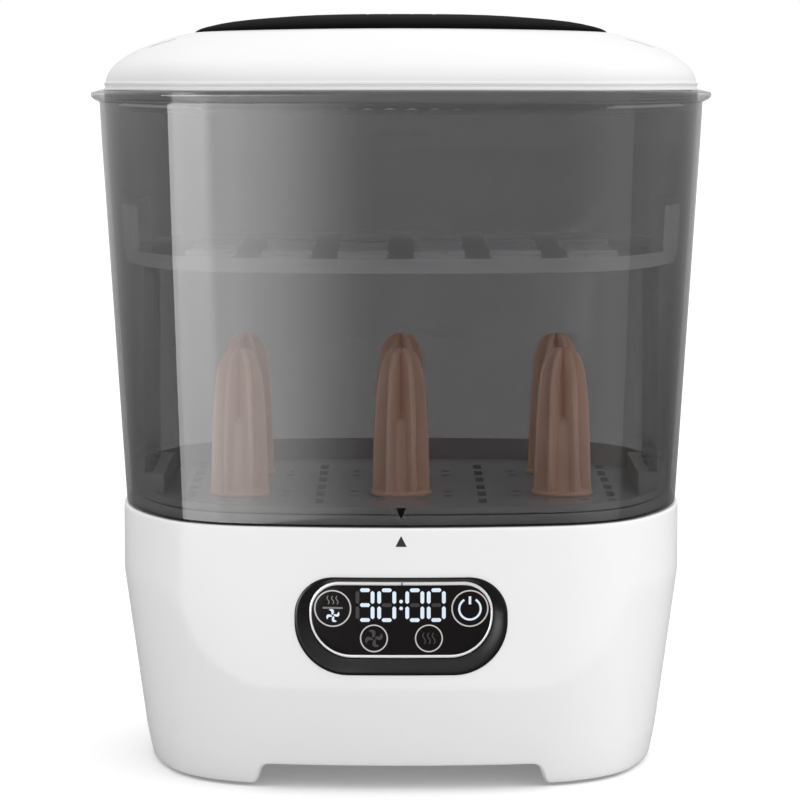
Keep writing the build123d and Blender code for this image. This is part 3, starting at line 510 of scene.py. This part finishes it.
def crown_rise(a, th):
    """Rise of the dome round the insert, highest at the front and back."""
    w = min(max((133.0 - a) / 30.0, 0.0), 1.0)
    return (0.6 + 3.2 * np.abs(np.sin(th)) ** 0.7) * w * w * (3 - 2 * w)


def lid_b(a):
    return a * (0.9092 if a > 120 else 0.9092 - (120 - a) * 0.0028)


def ell(a, b, th):
    return a * b / np.sqrt((b * np.cos(th)) ** 2 + (a * np.sin(th)) ** 2)


def lid_ring(a, z, off=0.0):
    """Lid plan: the sleeve's outline at the flange, easing into an ellipse towards the insert."""
    w = min(max((a - 101.0) / (140.0 - 101.0), 0.0), 1.0)
    w = w * w * (3 - 2 * w)
    b = lid_b(a)
    ra = smooth(outline(max(a, 110.0), max(b, 98.0), THS), THS) * (1 if a >= 110 else a / 110.0)
    re = ell(a, a * 0.7515 + (a - 100.3) * 0.55, THS)
    r = ra * w + re * (1 - w)
    return ring_pts(r - off, THS, z + bow(z, THS) + crown_rise(a, THS))


def lid_shell():
    rings = []
    # underside, from the insert seat outwards
    inner = [(100.4, 344.8), (106.0, 344.6), (112.3, 343.4), (119.3, 341.4), (124.9, 339.4), (130.0, 336.4), (134.5, 333.0), (138.0, 329.0), (139.4, 325.0), (139.8, 320.4), (139.9, 319.0)]
    for a, z in inner:
        rings.append(lid_ring(a, z))
    rings.append(lid_ring(140.6, 319.0)); rings.append(lid_ring(142.0, 319.0))
    for a, z in LID_SECT:
        rings.append(lid_ring(a, z))
    rings.append(lid_ring(101.2, 348.6)); rings.append(lid_ring(100.6, 348.3)); rings.append(lid_ring(100.4, 347.6)); rings.append(lid_ring(100.4, 346.0))
    v, f = rings_mesh(rings, close_loop=True)
    ob = raw_obj("lid_dome", v, f)
    # steam slots on the shoulders
    for sx in (-1, 1):
        for sy in (-1, 1):
            pts = []
            for i in range(24):
                t = 2 * math.pi * i / 24
                px = 7.0 * math.copysign(abs(math.cos(t)) ** 0.6, math.cos(t)); py = 1.7 * math.copysign(abs(math.sin(t)) ** 0.8, math.sin(t))
                an = math.radians(14) * (-sx * sy)
                pts.append((sx * 113.4 + px * math.cos(an) - py * math.sin(an), sy * 34.0 + px * math.sin(an) + py * math.cos(an)))
            cut(ob, prism_z(pts, 336, 356))
    finish_mesh(ob, LIDW, 32)
    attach(ob, "lid"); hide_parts("lid_shell")
    return ob


lid_shell()


def lid_insert():
    prof = [(99.2, 347.4), (99.7, 347.8), (99.88, 348.5), (99.7, 349.3), (99.2, 350.0), (98.2, 350.7), (96.6, 351.4), (94.4, 352.1),
            (88.0, 353.65), (82.0, 354.75), (73.0, 355.9), (64.2, 356.75), (53.0, 357.7), (42.5, 358.35), (30.0, 358.8), (20.0, 358.95), (10.0, 359.0), (3.0, 359.0)]
    inner = [(3.0, 355.6), (42.0, 355.0), (80.0, 351.4), (97.0, 349.0), (97.4, 347.4)]

    def rise(a):
        return 3.3 * np.abs(np.sin(THS)) ** 0.7 * min(max((a - 30.0) / 68.0, 0.0), 1.0) ** 1.3
    rings = []
    for a, z in inner:
        rings.append(ring_pts(ell(a, a * 0.75, THS), THS, z + rise(a)))
    for a, z in prof:
        rings.append(ring_pts(ell(a, a * 0.75, THS), THS, z + rise(a)))
    rings2 = rings
    v, f = rings_mesh(rings2, close_loop=False)
    n = len(THS)
    # close the crown and its underside, and the lower rim
    m = len(rings2)
    f += [tuple(range(n - 1, -1, -1)), tuple((m - 1) * n + k for k in range(n))]
    f = [q for q in f]
    # rim between the inner and outer skirts
    i0, i1 = 4, 5
    ob = raw_obj("lid_crown", v, f)
    for x in (-16.0, -5.4, 5.4, 16.0):
        pts = [(x + 0.95 * math.cos(t), (15 if math.sin(t) > 0 else -15) + 0.95 * math.sin(t)) for t in np.linspace(0, 2 * math.pi, 20, endpoint=False)]
        cut(ob, prism_z(pts, 357.2, 362))
    finish_mesh(ob, INSERT, 34)
    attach(ob, "lid"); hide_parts("lid_insert")


lid_insert()


def liner_collar():
    """Upright collar on the liner, behind the foot of the dome."""
    rings = [lid_ring(a, z) for a, z in ((138.4, 312.6), (138.2, 321.6), (138.5, 322.0), (138.9, 322.0), (139.2, 321.6), (139.3, 312.6))]
    v, f = rings_mesh(rings, close_loop=True)
    add_obj("liner_collar", v, f, LINER, "lid", (), sharp=40)


liner_collar()


def tray_ribs():
    """Two rows of low frosted ribs across the upper tray's deck."""
    bm = bmesh.new()
    for y in (32.5, -58.5):
        for ix in (-5, -3, -1, 1, 3, 5):
            x = ix * 18.0
            prof = [(-1.6, 0.0), (-1.5, 1.3), (-1.1, 1.7), (1.1, 1.7), (1.5, 1.3), (1.6, 0.0)]
            rows = []
            for dx, k in ((-12.2, 0.25), (-11.9, 0.8), (-11.2, 1.0), (11.2, 1.0), (11.9, 0.8), (12.2, 0.25)):
                rows.append([bm.verts.new(((x + dx) * MM, (y + u * k) * MM, (246.5 - 0.05 + w * k) * MM)) for u, w in prof])
            for i in range(5):
                for j in range(5):
                    bm.faces.new((rows[i][j], rows[i][j + 1], rows[i + 1][j + 1], rows[i + 1][j]))
                bm.faces.new((rows[i][5], rows[i][0], rows[i + 1][0], rows[i + 1][5]))
            bm.faces.new(rows[0]); bm.faces.new(list(reversed(rows[-1])))
    me = bpy.data.meshes.new("tray_ribs"); bm.to_mesh(me); bm.free()
    ob = bpy.data.objects.new("tray_ribs", me); bpy.context.scene.collection.objects.link(ob)
    finish_mesh(ob, RIB, 35)
    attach(ob, "upper_rack")


tray_ribs()


# ------------------------------------------------------------------ drying posts
def post_mesh(px, py, seed):
    """Ring of upright fins round a tapered core; each fin's top falls away outwards with a rounded nose."""
    bm = bmesh.new()
    H = POST_TOP - TRAY_FLOOR
    prof_r = [(0, 14.3), (0.5, 14.6), (1.5, 14.6), (2.1, 14.1), (2.4, 10.2), (3.4, 9.1), (8, 8.5), (20, 8.0), (31, 7.6), (34, 7.0), (36.2, 5.6), (37.4, 3.6), (38, 1.0)]
    n = 40
    rings = []
    for z, r in prof_r:
        rings.append([bm.verts.new((px + r * math.cos(t), py + r * math.sin(t), TRAY_FLOOR + z)) for t in np.linspace(0, 2 * math.pi, n, endpoint=False)])
    for i in range(len(rings) - 1):
        for k in range(n):
            bm.faces.new((rings[i][k], rings[i][(k + 1) % n], rings[i + 1][(k + 1) % n], rings[i + 1][k]))
    bm.faces.new(rings[-1]); bm.faces.new(list(reversed(rings[0])))
    # fins: outer edge radius against height
    edge = [(1.4, 13.9), (6, 13.6), (20, 13.3), (31, 12.85), (39, 12.5), (46, 12.1), (52, 11.5), (56.5, 11.0), (60, 10.3), (62.8, 9.5), (65.2, 8.5), (67.0, 7.4), (68.4, 6.1), (69.4, 4.9), (69.9, 3.9), (69.8, 3.1), (69.0, 2.6), (67.2, 2.3)]
    for k in range(6):
        an = math.radians(60 * k)
        c, s = math.cos(an), math.sin(an)
        drop = 0.0
        rows = []
        for z, r in edge:
            hw = 1.45
            sec = [(0.2, hw), (r - 1.3, hw * 0.95), (r - 0.55, hw * 0.8), (r - 0.15, hw * 0.45), (r, 0.0), (r - 0.15, -hw * 0.45), (r - 0.55, -hw * 0.8), (r - 1.3, -hw * 0.95), (0.2, -hw)]
            rows.append([bm.verts.new((px + u * c - w * s, py + u * s + w * c, TRAY_FLOOR + z)) for u, w in sec])
        for i in range(len(rows) - 1):
            for j in range(len(rows[0]) - 1):
                bm.faces.new((rows[i][j], rows[i][j + 1], rows[i + 1][j + 1], rows[i + 1][j]))
            bm.faces.new((rows[i][-1], rows[i][0], rows[i + 1][0], rows[i + 1][-1]))
        bm.faces.new(rows[-1]); bm.faces.new(list(reversed(rows[0])))
    return bm


def posts(name, sign, cad):
    bm = bmesh.new()
    for i in (-1, 0, 1):
        b = post_mesh(i * POST_PX, sign * POST_Y, i)
        me = bpy.data.meshes.new("tmp"); b.to_mesh(me); b.free()
        bm.from_mesh(me); bpy.data.meshes.remove(me)
    bmesh.ops.scale(bm, vec=(MM, MM, MM), verts=bm.verts)
    me = bpy.data.meshes.new(name); bm.to_mesh(me); bm.free()
    ob = bpy.data.objects.new(name, me); bpy.context.scene.collection.objects.link(ob)
    finish_mesh(ob, POST, 40)
    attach(ob, "bottle_rack"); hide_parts(cad)


posts("drying_posts_front", -1, "bottle_posts_front")
posts("drying_posts_rear", 1, "bottle_posts_rear")

# ------------------------------------------------------------------ control panel
def skin_pts(pts, off):
    """(x, z) points laid on the front wall, off mm under its surface."""
    p = np.asarray(pts, float)
    return np.stack([p[:, 0], front_y(p[:, 0], off), p[:, 1]], 1) * MM


OUT = capsule(PANEL_X, PANEL_Z0 - 0.2, PANEL_Z1 + 0.2, 17.8, 24.6)
INN = capsule(42.3, 63.8, 99.2, 13.7, 19.8)
INN2 = capsule(41.25, 65.15, 97.5, 12.5, 18.3)


def bezel():
    rings = []
    prof = [(0.0, 6.0), (0.0, 0.3), (0.02, -0.25), (0.06, -0.62), (0.13, -0.78), (0.22, -0.70), (0.36, -0.40), (0.52, 0.05), (0.68, 0.55), (0.82, 0.95), (0.93, 1.2), (1.0, 1.3), (1.0, 6.0)]
    for w, off in prof:
        rings.append(skin_pts(OUT * (1 - w) + INN * w, off))
    v, f = rings_mesh(rings, close_loop=True)
    ob = add_obj("dished_bezel", v, f, BEZEL, "base", ("panel_bezel",), sharp=40)
    ob.data.materials.append(SHADE_AND_PRINT_BLACK)
    # The bezel's outer edge and inner wall take the near-black: painted shade of the reveal round the bezel and down
    # into the ring.
    for pl in ob.data.polygons:
        if pl.index // len(OUT) in (0, 1, 2, 10, 11):
            pl.material_index = 1
    rings = []
    for w, off in [(0.0, 4.5), (0.0, 1.1), (0.06, 0.85), (0.25, 0.62), (0.5, 0.55), (0.75, 0.62), (0.94, 0.85), (1.0, 1.1), (1.0, 4.5)]:
        rings.append(skin_pts(INN * (1 - w) + INN2 * w, off))
    v, f = rings_mesh(rings, close_loop=True)
    add_obj("bright_ring", v, f, TRIM, "base", ("panel_trim_ring",), sharp=40)
    # touch panel: curved sheet inside the ring
    rings = []
    base = capsule(41.25, 65.15, 97.5, 12.5, 18.3)
    cx, cz = 0.0, 81.35
    for s, off in [(1.0, 3.2), (1.0, 1.15), (0.992, 1.0)] + [(q, 1.0) for q in (0.9, 0.8, 0.7, 0.6, 0.5, 0.4, 0.3, 0.2, 0.1, 0.03)]:
        rings.append(skin_pts(np.stack([cx + (base[:, 0] - cx) * s, cz + (base[:, 1] - cz) * s], 1), off))
    v, f = rings_mesh(rings, cap1=True, cap0=False)
    n = len(base)
    f.append(tuple(range(n - 1, -1, -1)))
    add_obj("touch_sheet", v, f, PANEL, "base", ("touch_panel",), sharp=40)


bezel()


def flat_marks(name, polys, mat, off=0.93, thick=0.07):
    """Thin marks laid on the touch panel; each polygon is a list of (x, z) points."""
    verts, faces = [], []
    for pts in polys:
        n = len(pts)
        top = skin_pts(pts, off); low = skin_pts(pts, off + thick)
        s = len(verts)
        verts += list(top) + list(low)
        faces.append(tuple(range(s, s + n))); faces.append(tuple(range(s + 2 * n - 1, s + n - 1, -1)))
        for i in range(n):
            faces.append((s + i, s + (i + 1) % n, s + n + (i + 1) % n, s + n + i))
    return add_obj(name, verts, faces, mat, "base", sharp=30)


def annulus_quads(cx, cz, r, w, a0=0.0, a1=360.0, n=72):
    """A ring or arc of width w as quads."""
    out = []
    ts = np.radians(np.linspace(a0, a1, n + 1))
    for i in range(n):
        t0, t1 = ts[i], ts[i + 1]
        out.append([(cx + (r - w / 2) * math.cos(t0), cz + (r - w / 2) * math.sin(t0)), (cx + (r + w / 2) * math.cos(t0), cz + (r + w / 2) * math.sin(t0)),
                    (cx + (r + w / 2) * math.cos(t1), cz + (r + w / 2) * math.sin(t1)), (cx + (r - w / 2) * math.cos(t1), cz + (r - w / 2) * math.sin(t1))])
    return out


def strip(pts, w):
    """A stroke of width w along points, as quads."""
    p = np.array(pts, float); out = []
    d = np.gradient(p, axis=0); d /= np.linalg.norm(d, axis=1)[:, None]
    nrm = np.stack([-d[:, 1], d[:, 0]], 1) * w / 2
    for i in range(len(p) - 1):
        out.append([tuple(p[i] - nrm[i]), tuple(p[i + 1] - nrm[i + 1]), tuple(p[i + 1] + nrm[i + 1]), tuple(p[i] + nrm[i])])
    return out


def ribbon(name, chains, mat, off=0.93, thick=0.07):
    """Continuous strokes as joined strips, each chain a list of quads."""
    verts, faces = [], []
    for ch in chains:
        s = len(verts); m = len(ch)
        a = [q[0] for q in ch] + [ch[-1][1] if len(ch) else None]
        b = [q[3] for q in ch] + [ch[-1][2]]
        a = np.array(a); b = np.array(b)
        closed = np.allclose(a[0], a[-1], atol=1e-6) and np.allclose(b[0], b[-1], atol=1e-6)
        if closed:
            a, b = a[:-1], b[:-1]
        n = len(a)
        verts += list(skin_pts(a, off)) + list(skin_pts(b, off)) + list(skin_pts(a, off + thick)) + list(skin_pts(b, off + thick))
        rng = range(n if closed else n - 1)
        for i in rng:
            j = (i + 1) % n
            faces += [(s + i, s + j, s + n + j, s + n + i), (s + 2 * n + i, s + 3 * n + i, s + 3 * n + j, s + 2 * n + j),
                      (s + i, s + 2 * n + i, s + 2 * n + j, s + j), (s + n + i, s + n + j, s + 3 * n + j, s + 3 * n + i)]
        if not closed:
            faces += [(s, s + n, s + 3 * n, s + 2 * n), (s + n - 1, s + 3 * n - 1, s + 4 * n - 1, s + 2 * n - 1)]
    return add_obj(name, verts, faces, mat, "base", sharp=30)


def arc_chain(cx, cz, r, w, a0=0.0, a1=360.0, n=72):
    q = annulus_quads(cx, cz, r, w, a0, a1, n)
    return [[x[0], x[3], x[2], x[1]] for x in q]


RX, RZ, RR = (-31.5, 31.7), 86.65, 8.25
SX, SZ, SR = (-12.5, 12.8), 72.9, 6.15
ribbon("mark_rings", [arc_chain(RX[0], RZ, RR, 0.62), arc_chain(RX[1], RZ, RR, 0.62), arc_chain(SX[0], SZ, SR, 0.58), arc_chain(SX[1], SZ, SR, 0.58)], MARK)


def fan_blades(cx, cz, r, n=4):
    out = []
    for k in range(n):
        a = math.radians(90 * k + 20)
        loc = [(0.12, -0.05), (0.36, -0.30), (0.66, -0.40), (0.90, -0.26), (1.0, 0.0), (0.96, 0.26), (0.84, 0.16), (0.70, 0.02), (0.52, 0.0), (0.34, 0.10), (0.16, 0.12)]
        pts = []
        for u, v in loc:
            pts.append((cx + r * (u * math.cos(a) - v * math.sin(a)), cz + r * (u * math.sin(a) + v * math.cos(a))))
        out.append(pts)
    return out


def wave(cx, cz, h, amp, w, n=22):
    t = np.linspace(0, 1, n)
    return strip([(cx + amp * math.sin(2 * math.pi * q), cz - h / 2 + h * q) for q in t], w)


flat_marks("mark_fan_lit", fan_blades(RX[0] + 0.1, RZ - 3.3, 3.2), LIT)
ribbon("mark_mode_line", [strip([(RX[0] - 4.6, RZ + 0.25), (RX[0] + 4.6, RZ + 0.25)], 0.8)], HALFMARK)
ribbon("mark_mode_waves", [wave(RX[0] + dx, RZ + 3.9, 3.8, 0.5, 0.42) for dx in (-2.1, 0.0, 2.0)], HALFMARK)
flat_marks("mark_fan_dim", fan_blades(SX[0], SZ, 4.3), GREYMARK)
ribbon("mark_waves_dim", [wave(SX[1] + dx, SZ, 5.2, 0.6, 0.55) for dx in (-2.2, 0.0, 2.2)], GREYMARK)
ribbon("mark_power", [arc_chain(RX[1], RZ - 0.2, 4.95, 0.95, 90 + 32, 90 + 328, 60), strip([(RX[1], RZ + 1.9), (RX[1], RZ + 5.6)], 1.15)], LIT)


def seg_poly(x0, z0, x1, z1, w, cutoff=0.5):
    """One bar of a display digit with cut corners."""
    d = np.array([x1 - x0, z1 - z0]); L = math.hypot(*d); d /= L; nn = np.array([-d[1], d[0]])
    c = w * 0.36
    loc = [(0, -w / 2 + c), (c, -w / 2), (L - c, -w / 2), (L, -w / 2 + c), (L, w / 2 - c), (L - c, w / 2), (c, w / 2), (0, w / 2 - c)]
    return [(x0 + d[0] * u + nn[0] * v, z0 + d[1] * u + nn[1] * v) for u, v in loc]


def digit(cx, cz, w, h, lit):
    """Seven-bar digit: returns lit and unlit bars."""
    t = 1.75; g = 0.32; hx = w / 2 - t / 2; hz = h / 2 - t / 2
    seg = {
        "a": (-hx + t / 2 + g, hz, hx - t / 2 - g, hz), "d": (-hx + t / 2 + g, -hz, hx - t / 2 - g, -hz), "g": (-hx + t / 2 + g, 0, hx - t / 2 - g, 0),
        "f": (-hx, t / 2 * 0.4 + g, -hx, hz - t / 2 * 0.2 - g), "b": (hx, t / 2 * 0.4 + g, hx, hz - t / 2 * 0.2 - g),
        "e": (-hx, -hz + t / 2 * 0.2 + g, -hx, -t / 2 * 0.4 - g), "c": (hx, -hz + t / 2 * 0.2 + g, hx, -t / 2 * 0.4 - g)}
    on, off = [], []
    for k, (x0, z0, x1, z1) in seg.items():
        (on if k in lit else off).append(seg_poly(cx + x0, cz + z0, cx + x1, cz + z1, t))
    return on, off


on, off = [], []
for cx, lit in ((-16.6, "abcdg"), (-6.6, "abcdef"), (6.3, "abcdef"), (16.2, "abcdef")):
    a, b = digit(cx, 88.35, 8.7, 15.6, lit); on += a; off += b
for cz in (90.05, 86.85):
    on.append([(0.0 + 0.85 * math.cos(t), cz + 0.85 * math.sin(t)) for t in np.linspace(0, 2 * math.pi, 20, endpoint=False)])
flat_marks("ring_tick", [[(0.1, 97.5), (0.7, 97.5), (0.7, 98.9), (0.1, 98.9)]], PRINT, off=0.5, thick=0.06)
flat_marks("display_digits", on, LIT)
flat_marks("display_unlit", off, DIM)

# ------------------------------------------------------------------ alignment pointers
def wall_mark(name, pts, y_of, mat, body, cad, lift=0.06, thick=0.2):
    """Flat printed mark on the front wall: y_of gives the wall's y (mm) at x, z."""
    n = len(pts)
    v = [(x * MM, (y_of(x, z) - lift) * MM, z * MM) for x, z in pts] + [(x * MM, (y_of(x, z) + thick - lift) * MM, z * MM) for x, z in pts]
    f = [tuple(range(n)), tuple(range(2 * n - 1, n - 1, -1))] + [(i, (i + 1) % n, n + (i + 1) % n, n + i) for i in range(n)]
    return add_obj(name, v, f, mat, body, cad, sharp=30)


def slv_y(x, z):
    a, b = slv_ab(z)
    return -(b - 360.0 + math.sqrt(360.0 ** 2 - x * x))


def edge_pts(corners, k=6):
    out = []
    for i in range(len(corners)):
        p, q = corners[i], corners[(i + 1) % len(corners)]
        out += [(p[0] + (q[0] - p[0]) * j / k, p[1] + (q[1] - p[1]) * j / k) for j in range(k)]
    return out


wall_mark("base_arrow", edge_pts([(-2.6, 115.5), (2.6, 115.5), (0.15, 120.3), (-0.15, 120.3)]), lambda x, z: float(front_y(x)), PRINT, "base", ("base_pointer",), lift=0.05, thick=0.15)
wall_mark("sleeve_arrow", edge_pts([(2.25, 133.4), (-2.25, 133.4), (-0.25, 128.7), (0.25, 128.7)]), slv_y, SHADE_AND_PRINT_BLACK, "sleeve", ("sleeve_pointer",), lift=0.4, thick=0.15)
# Embossed ridges round the sleeve's arrow: real raised strips, whose lighter tint is a painted highlight on their
# edges.
for nm, cs in (("sleeve_arrow_ridge_highlight_l", [(-4.5, 135.2), (-3.4, 135.2), (-3.5, 131.6), (-0.35, 128.3), (0.0, 126.6), (-0.9, 126.9), (-4.6, 131.0)]),
               ("sleeve_arrow_ridge_highlight_r", [(0.35, 128.3), (3.5, 131.6), (4.2, 131.0), (0.7, 126.9), (0.0, 126.6)])):
    wall_mark(nm, edge_pts(cs, 3), slv_y, RIDGE_HIGHLIGHT_TINT, "sleeve", (), lift=0.12, thick=0.14)

# ------------------------------------------------------------------ stage, lights, camera
def arc_card(name, side, r, az0, az1, z1, s_lo, s_hi, fade0, fade1, foot=1.0):
    """Curved light card round the object from azimuth az0 to az1 (degrees from the front), fading towards the front between fade0 and fade1."""
    n = 40
    verts, faces = [], []
    for i in range(n + 1):
        a = math.radians(az0 + (az1 - az0) * i / n)
        x, y = side * r * math.sin(a), -r * math.cos(a)
        verts += [(x, y, 0.002), (x, y, z1)]
    for i in range(n):
        faces.append((2 * i, 2 * i + 2, 2 * i + 3, 2 * i + 1))
    me = bpy.data.meshes.new(name); me.from_pydata(verts, [], faces)
    uv = me.uv_layers.new(name="UVMap")
    for poly in me.polygons:
        for li in poly.loop_indices:
            vi = me.loops[li].vertex_index
            uv.data[li].uv = ((vi // 2) / n, vi % 2)
    ob = bpy.data.objects.new(name, me); bpy.context.scene.collection.objects.link(ob)
    m = bpy.data.materials.new(name); m.use_nodes = True; nt = m.node_tree; nt.nodes.clear()
    out = node(nt, "ShaderNodeOutputMaterial"); em = node(nt, "ShaderNodeEmission")
    tc = node(nt, "ShaderNodeTexCoord"); sp = node(nt, "ShaderNodeSeparateXYZ")
    mr = node(nt, "ShaderNodeMapRange", i_1=(fade0 - az0) / (az1 - az0), i_2=(fade1 - az0) / (az1 - az0), i_3=s_hi, i_4=s_lo)
    mr.interpolation_type = "SMOOTHSTEP"
    nt.links.new(tc.outputs["UV"], sp.inputs[0]); nt.links.new(sp.outputs[0], mr.inputs[0])
    mv = node(nt, "ShaderNodeMapRange", i_1=0.0, i_2=1.0, i_3=foot, i_4=1.0); mm = node(nt, "ShaderNodeMath", operation="MULTIPLY")
    nt.links.new(sp.outputs[1], mv.inputs[0]); nt.links.new(mr.outputs[0], mm.inputs[0]); nt.links.new(mv.outputs[0], mm.inputs[1])
    nt.links.new(mm.outputs[0], em.inputs["Strength"])
    tr = node(nt, "ShaderNodeBsdfTransparent"); ad = node(nt, "ShaderNodeAddShader")
    nt.links.new(em.outputs[0], ad.inputs[0]); nt.links.new(tr.outputs[0], ad.inputs[1]); nt.links.new(ad.outputs[0], out.inputs["Surface"])
    me.materials.append(m)
    ob.visible_camera = False; ob.visible_shadow = False; ob.visible_diffuse = False; ob.visible_transmission = False
    return ob


arc_card("card_left", -1, 0.62, 84.0, 3.0, 0.30, 0.0, 5.1, 32.0, 3.0, 0.85)
arc_card("card_left_far", -1, 0.63, 84.0, 28.0, 0.30, 0.0, 3.6, 53.0, 41.0, 0.25)
arc_card("card_right", 1, 0.62, 84.0, 20.0, 0.30, 0.0, 0.62, 70.0, 22.0)

floor_me = bpy.data.meshes.new("floor")
floor_me.from_pydata([(-30, -30, 0), (30, -30, 0), (30, 30, 0), (-30, 30, 0)], [], [(0, 1, 2, 3)])
floor = bpy.data.objects.new("floor", floor_me); bpy.context.scene.collection.objects.link(floor)
fm, fnt, fp = new_mat("floor_white")
fp.inputs["Base Color"].default_value = (0.72, 0.72, 0.72, 1); fp.inputs["Roughness"].default_value = 0.9
fp.inputs["Specular IOR Level"].default_value = 0.0
fp.inputs["Emission Color"].default_value = (1, 1, 1, 1)
flp = node(fnt, "ShaderNodeLightPath"); fem = node(fnt, "ShaderNodeMath", operation="MULTIPLY", i_1=0.22)
fnt.links.new(flp.outputs["Is Camera Ray"], fem.inputs[0]); fnt.links.new(fem.outputs[0], fp.inputs["Emission Strength"])
ftc = node(fnt, "ShaderNodeTexCoord"); fnz = node(fnt, "ShaderNodeTexNoise", i_Scale=3.0)
fmr = node(fnt, "ShaderNodeMapRange", i_3=0.88, i_4=0.92)
fnt.links.new(ftc.outputs["Object"], fnz.inputs["Vector"]); fnt.links.new(fnz.outputs["Fac"], fmr.inputs[0]); fnt.links.new(fmr.outputs[0], fp.inputs["Roughness"])
floor_me.materials.append(fm)
floor.visible_glossy = False


def area(name, loc, target, size, power, size_y=None, col=(1, 1, 1)):
    ld = bpy.data.lights.new(name, "AREA"); ld.shape = "RECTANGLE"; ld.size = size; ld.size_y = size_y or size; ld.energy = power; ld.color = col
    ob = bpy.data.objects.new(name, ld); bpy.context.scene.collection.objects.link(ob)
    ob.location = loc
    ob.rotation_euler = (Vector(target) - Vector(loc)).to_track_quat("-Z", "Y").to_euler()
    return ob



w = bpy.data.worlds.new("world"); bpy.context.scene.world = w; w.use_nodes = True
wn = w.node_tree; wn.nodes.clear()
wo = node(wn, "ShaderNodeOutputWorld")
bg_cam = node(wn, "ShaderNodeBackground", i_Color=(1, 1, 1, 1), i_Strength=1.0)
bg_dif = node(wn, "ShaderNodeBackground", i_Color=(1, 1, 1, 1)); bg_gls = node(wn, "ShaderNodeBackground", i_Color=(1, 1, 1, 1))
wtc = node(wn, "ShaderNodeTexCoord"); wsep = node(wn, "ShaderNodeSeparateXYZ")
wn.links.new(wtc.outputs["Generated"], wsep.inputs[0])
# room light: brighter from above and from the right
up = node(wn, "ShaderNodeMapRange", i_1=-0.2, i_2=1.0, i_3=0.66, i_4=1.70)
rt = node(wn, "ShaderNodeMapRange", i_1=-1.0, i_2=1.0, i_3=0.64, i_4=1.42)
ml = node(wn, "ShaderNodeMath", operation="MULTIPLY")
wn.links.new(wsep.outputs[2], up.inputs[0]); wn.links.new(wsep.outputs[0], rt.inputs[0])
wn.links.new(up.outputs[0], ml.inputs[0]); wn.links.new(rt.outputs[0], ml.inputs[1]); wn.links.new(ml.outputs[0], bg_dif.inputs["Strength"])
# what gloss reflects: a darker room, lighter overhead
gu = node(wn, "ShaderNodeMapRange", i_1=-0.1, i_2=0.9, i_3=0.30, i_4=1.1)
gb = node(wn, "ShaderNodeMapRange", i_1=-0.25, i_2=0.35, i_3=0.0, i_4=0.32)
gb.interpolation_type = "SMOOTHSTEP"
gs = node(wn, "ShaderNodeMath", operation="ADD")
gf = node(wn, "ShaderNodeMapRange", i_1=-0.14, i_2=-0.05, i_3=0.40, i_4=1.0)
gx = node(wn, "ShaderNodeMapRange", i_1=0.0, i_2=1.0, i_3=1.0, i_4=0.62)
gm = node(wn, "ShaderNodeMath", operation="MULTIPLY"); gn = node(wn, "ShaderNodeMath", operation="MULTIPLY")
wn.links.new(wsep.outputs[2], gu.inputs[0]); wn.links.new(wsep.outputs[1], gb.inputs[0]); wn.links.new(wsep.outputs[2], gf.inputs[0]); wn.links.new(wsep.outputs[0], gx.inputs[0])
wn.links.new(gu.outputs[0], gs.inputs[0]); wn.links.new(gb.outputs[0], gs.inputs[1]); wn.links.new(gf.outputs[0], gm.inputs[0]); wn.links.new(gx.outputs[0], gm.inputs[1])
wn.links.new(gs.outputs[0], gn.inputs[0]); wn.links.new(gm.outputs[0], gn.inputs[1]); wn.links.new(gn.outputs[0], bg_gls.inputs["Strength"])
lp = node(wn, "ShaderNodeLightPath"); m1 = node(wn, "ShaderNodeMixShader"); m2 = node(wn, "ShaderNodeMixShader")
wn.links.new(lp.outputs["Is Glossy Ray"], m1.inputs[0]); wn.links.new(bg_dif.outputs[0], m1.inputs[1]); wn.links.new(bg_gls.outputs[0], m1.inputs[2])
wn.links.new(lp.outputs["Is Camera Ray"], m2.inputs[0]); wn.links.new(m1.outputs[0], m2.inputs[1]); wn.links.new(bg_cam.outputs[0], m2.inputs[2])
wn.links.new(m2.outputs[0], wo.inputs["Surface"])

cam_d = bpy.data.cameras.new("camera"); cam = bpy.data.objects.new("camera", cam_d)
bpy.context.scene.collection.objects.link(cam); bpy.context.scene.camera = cam
CAM_H, CAM_D, PITCH, LENS = 0.361, 2.0, 5.405, 185.6
cam.location = (-0.0005, -CAM_D, CAM_H); cam.rotation_euler = (math.radians(90 - PITCH), 0, 0)
cam_d.lens = LENS; cam_d.sensor_width = 36.0; cam_d.clip_end = 100
sc = bpy.context.scene
sc.view_settings.view_transform = "Standard"
sc.cycles.transparent_max_bounces = 32
sc.cycles.max_bounces = 14
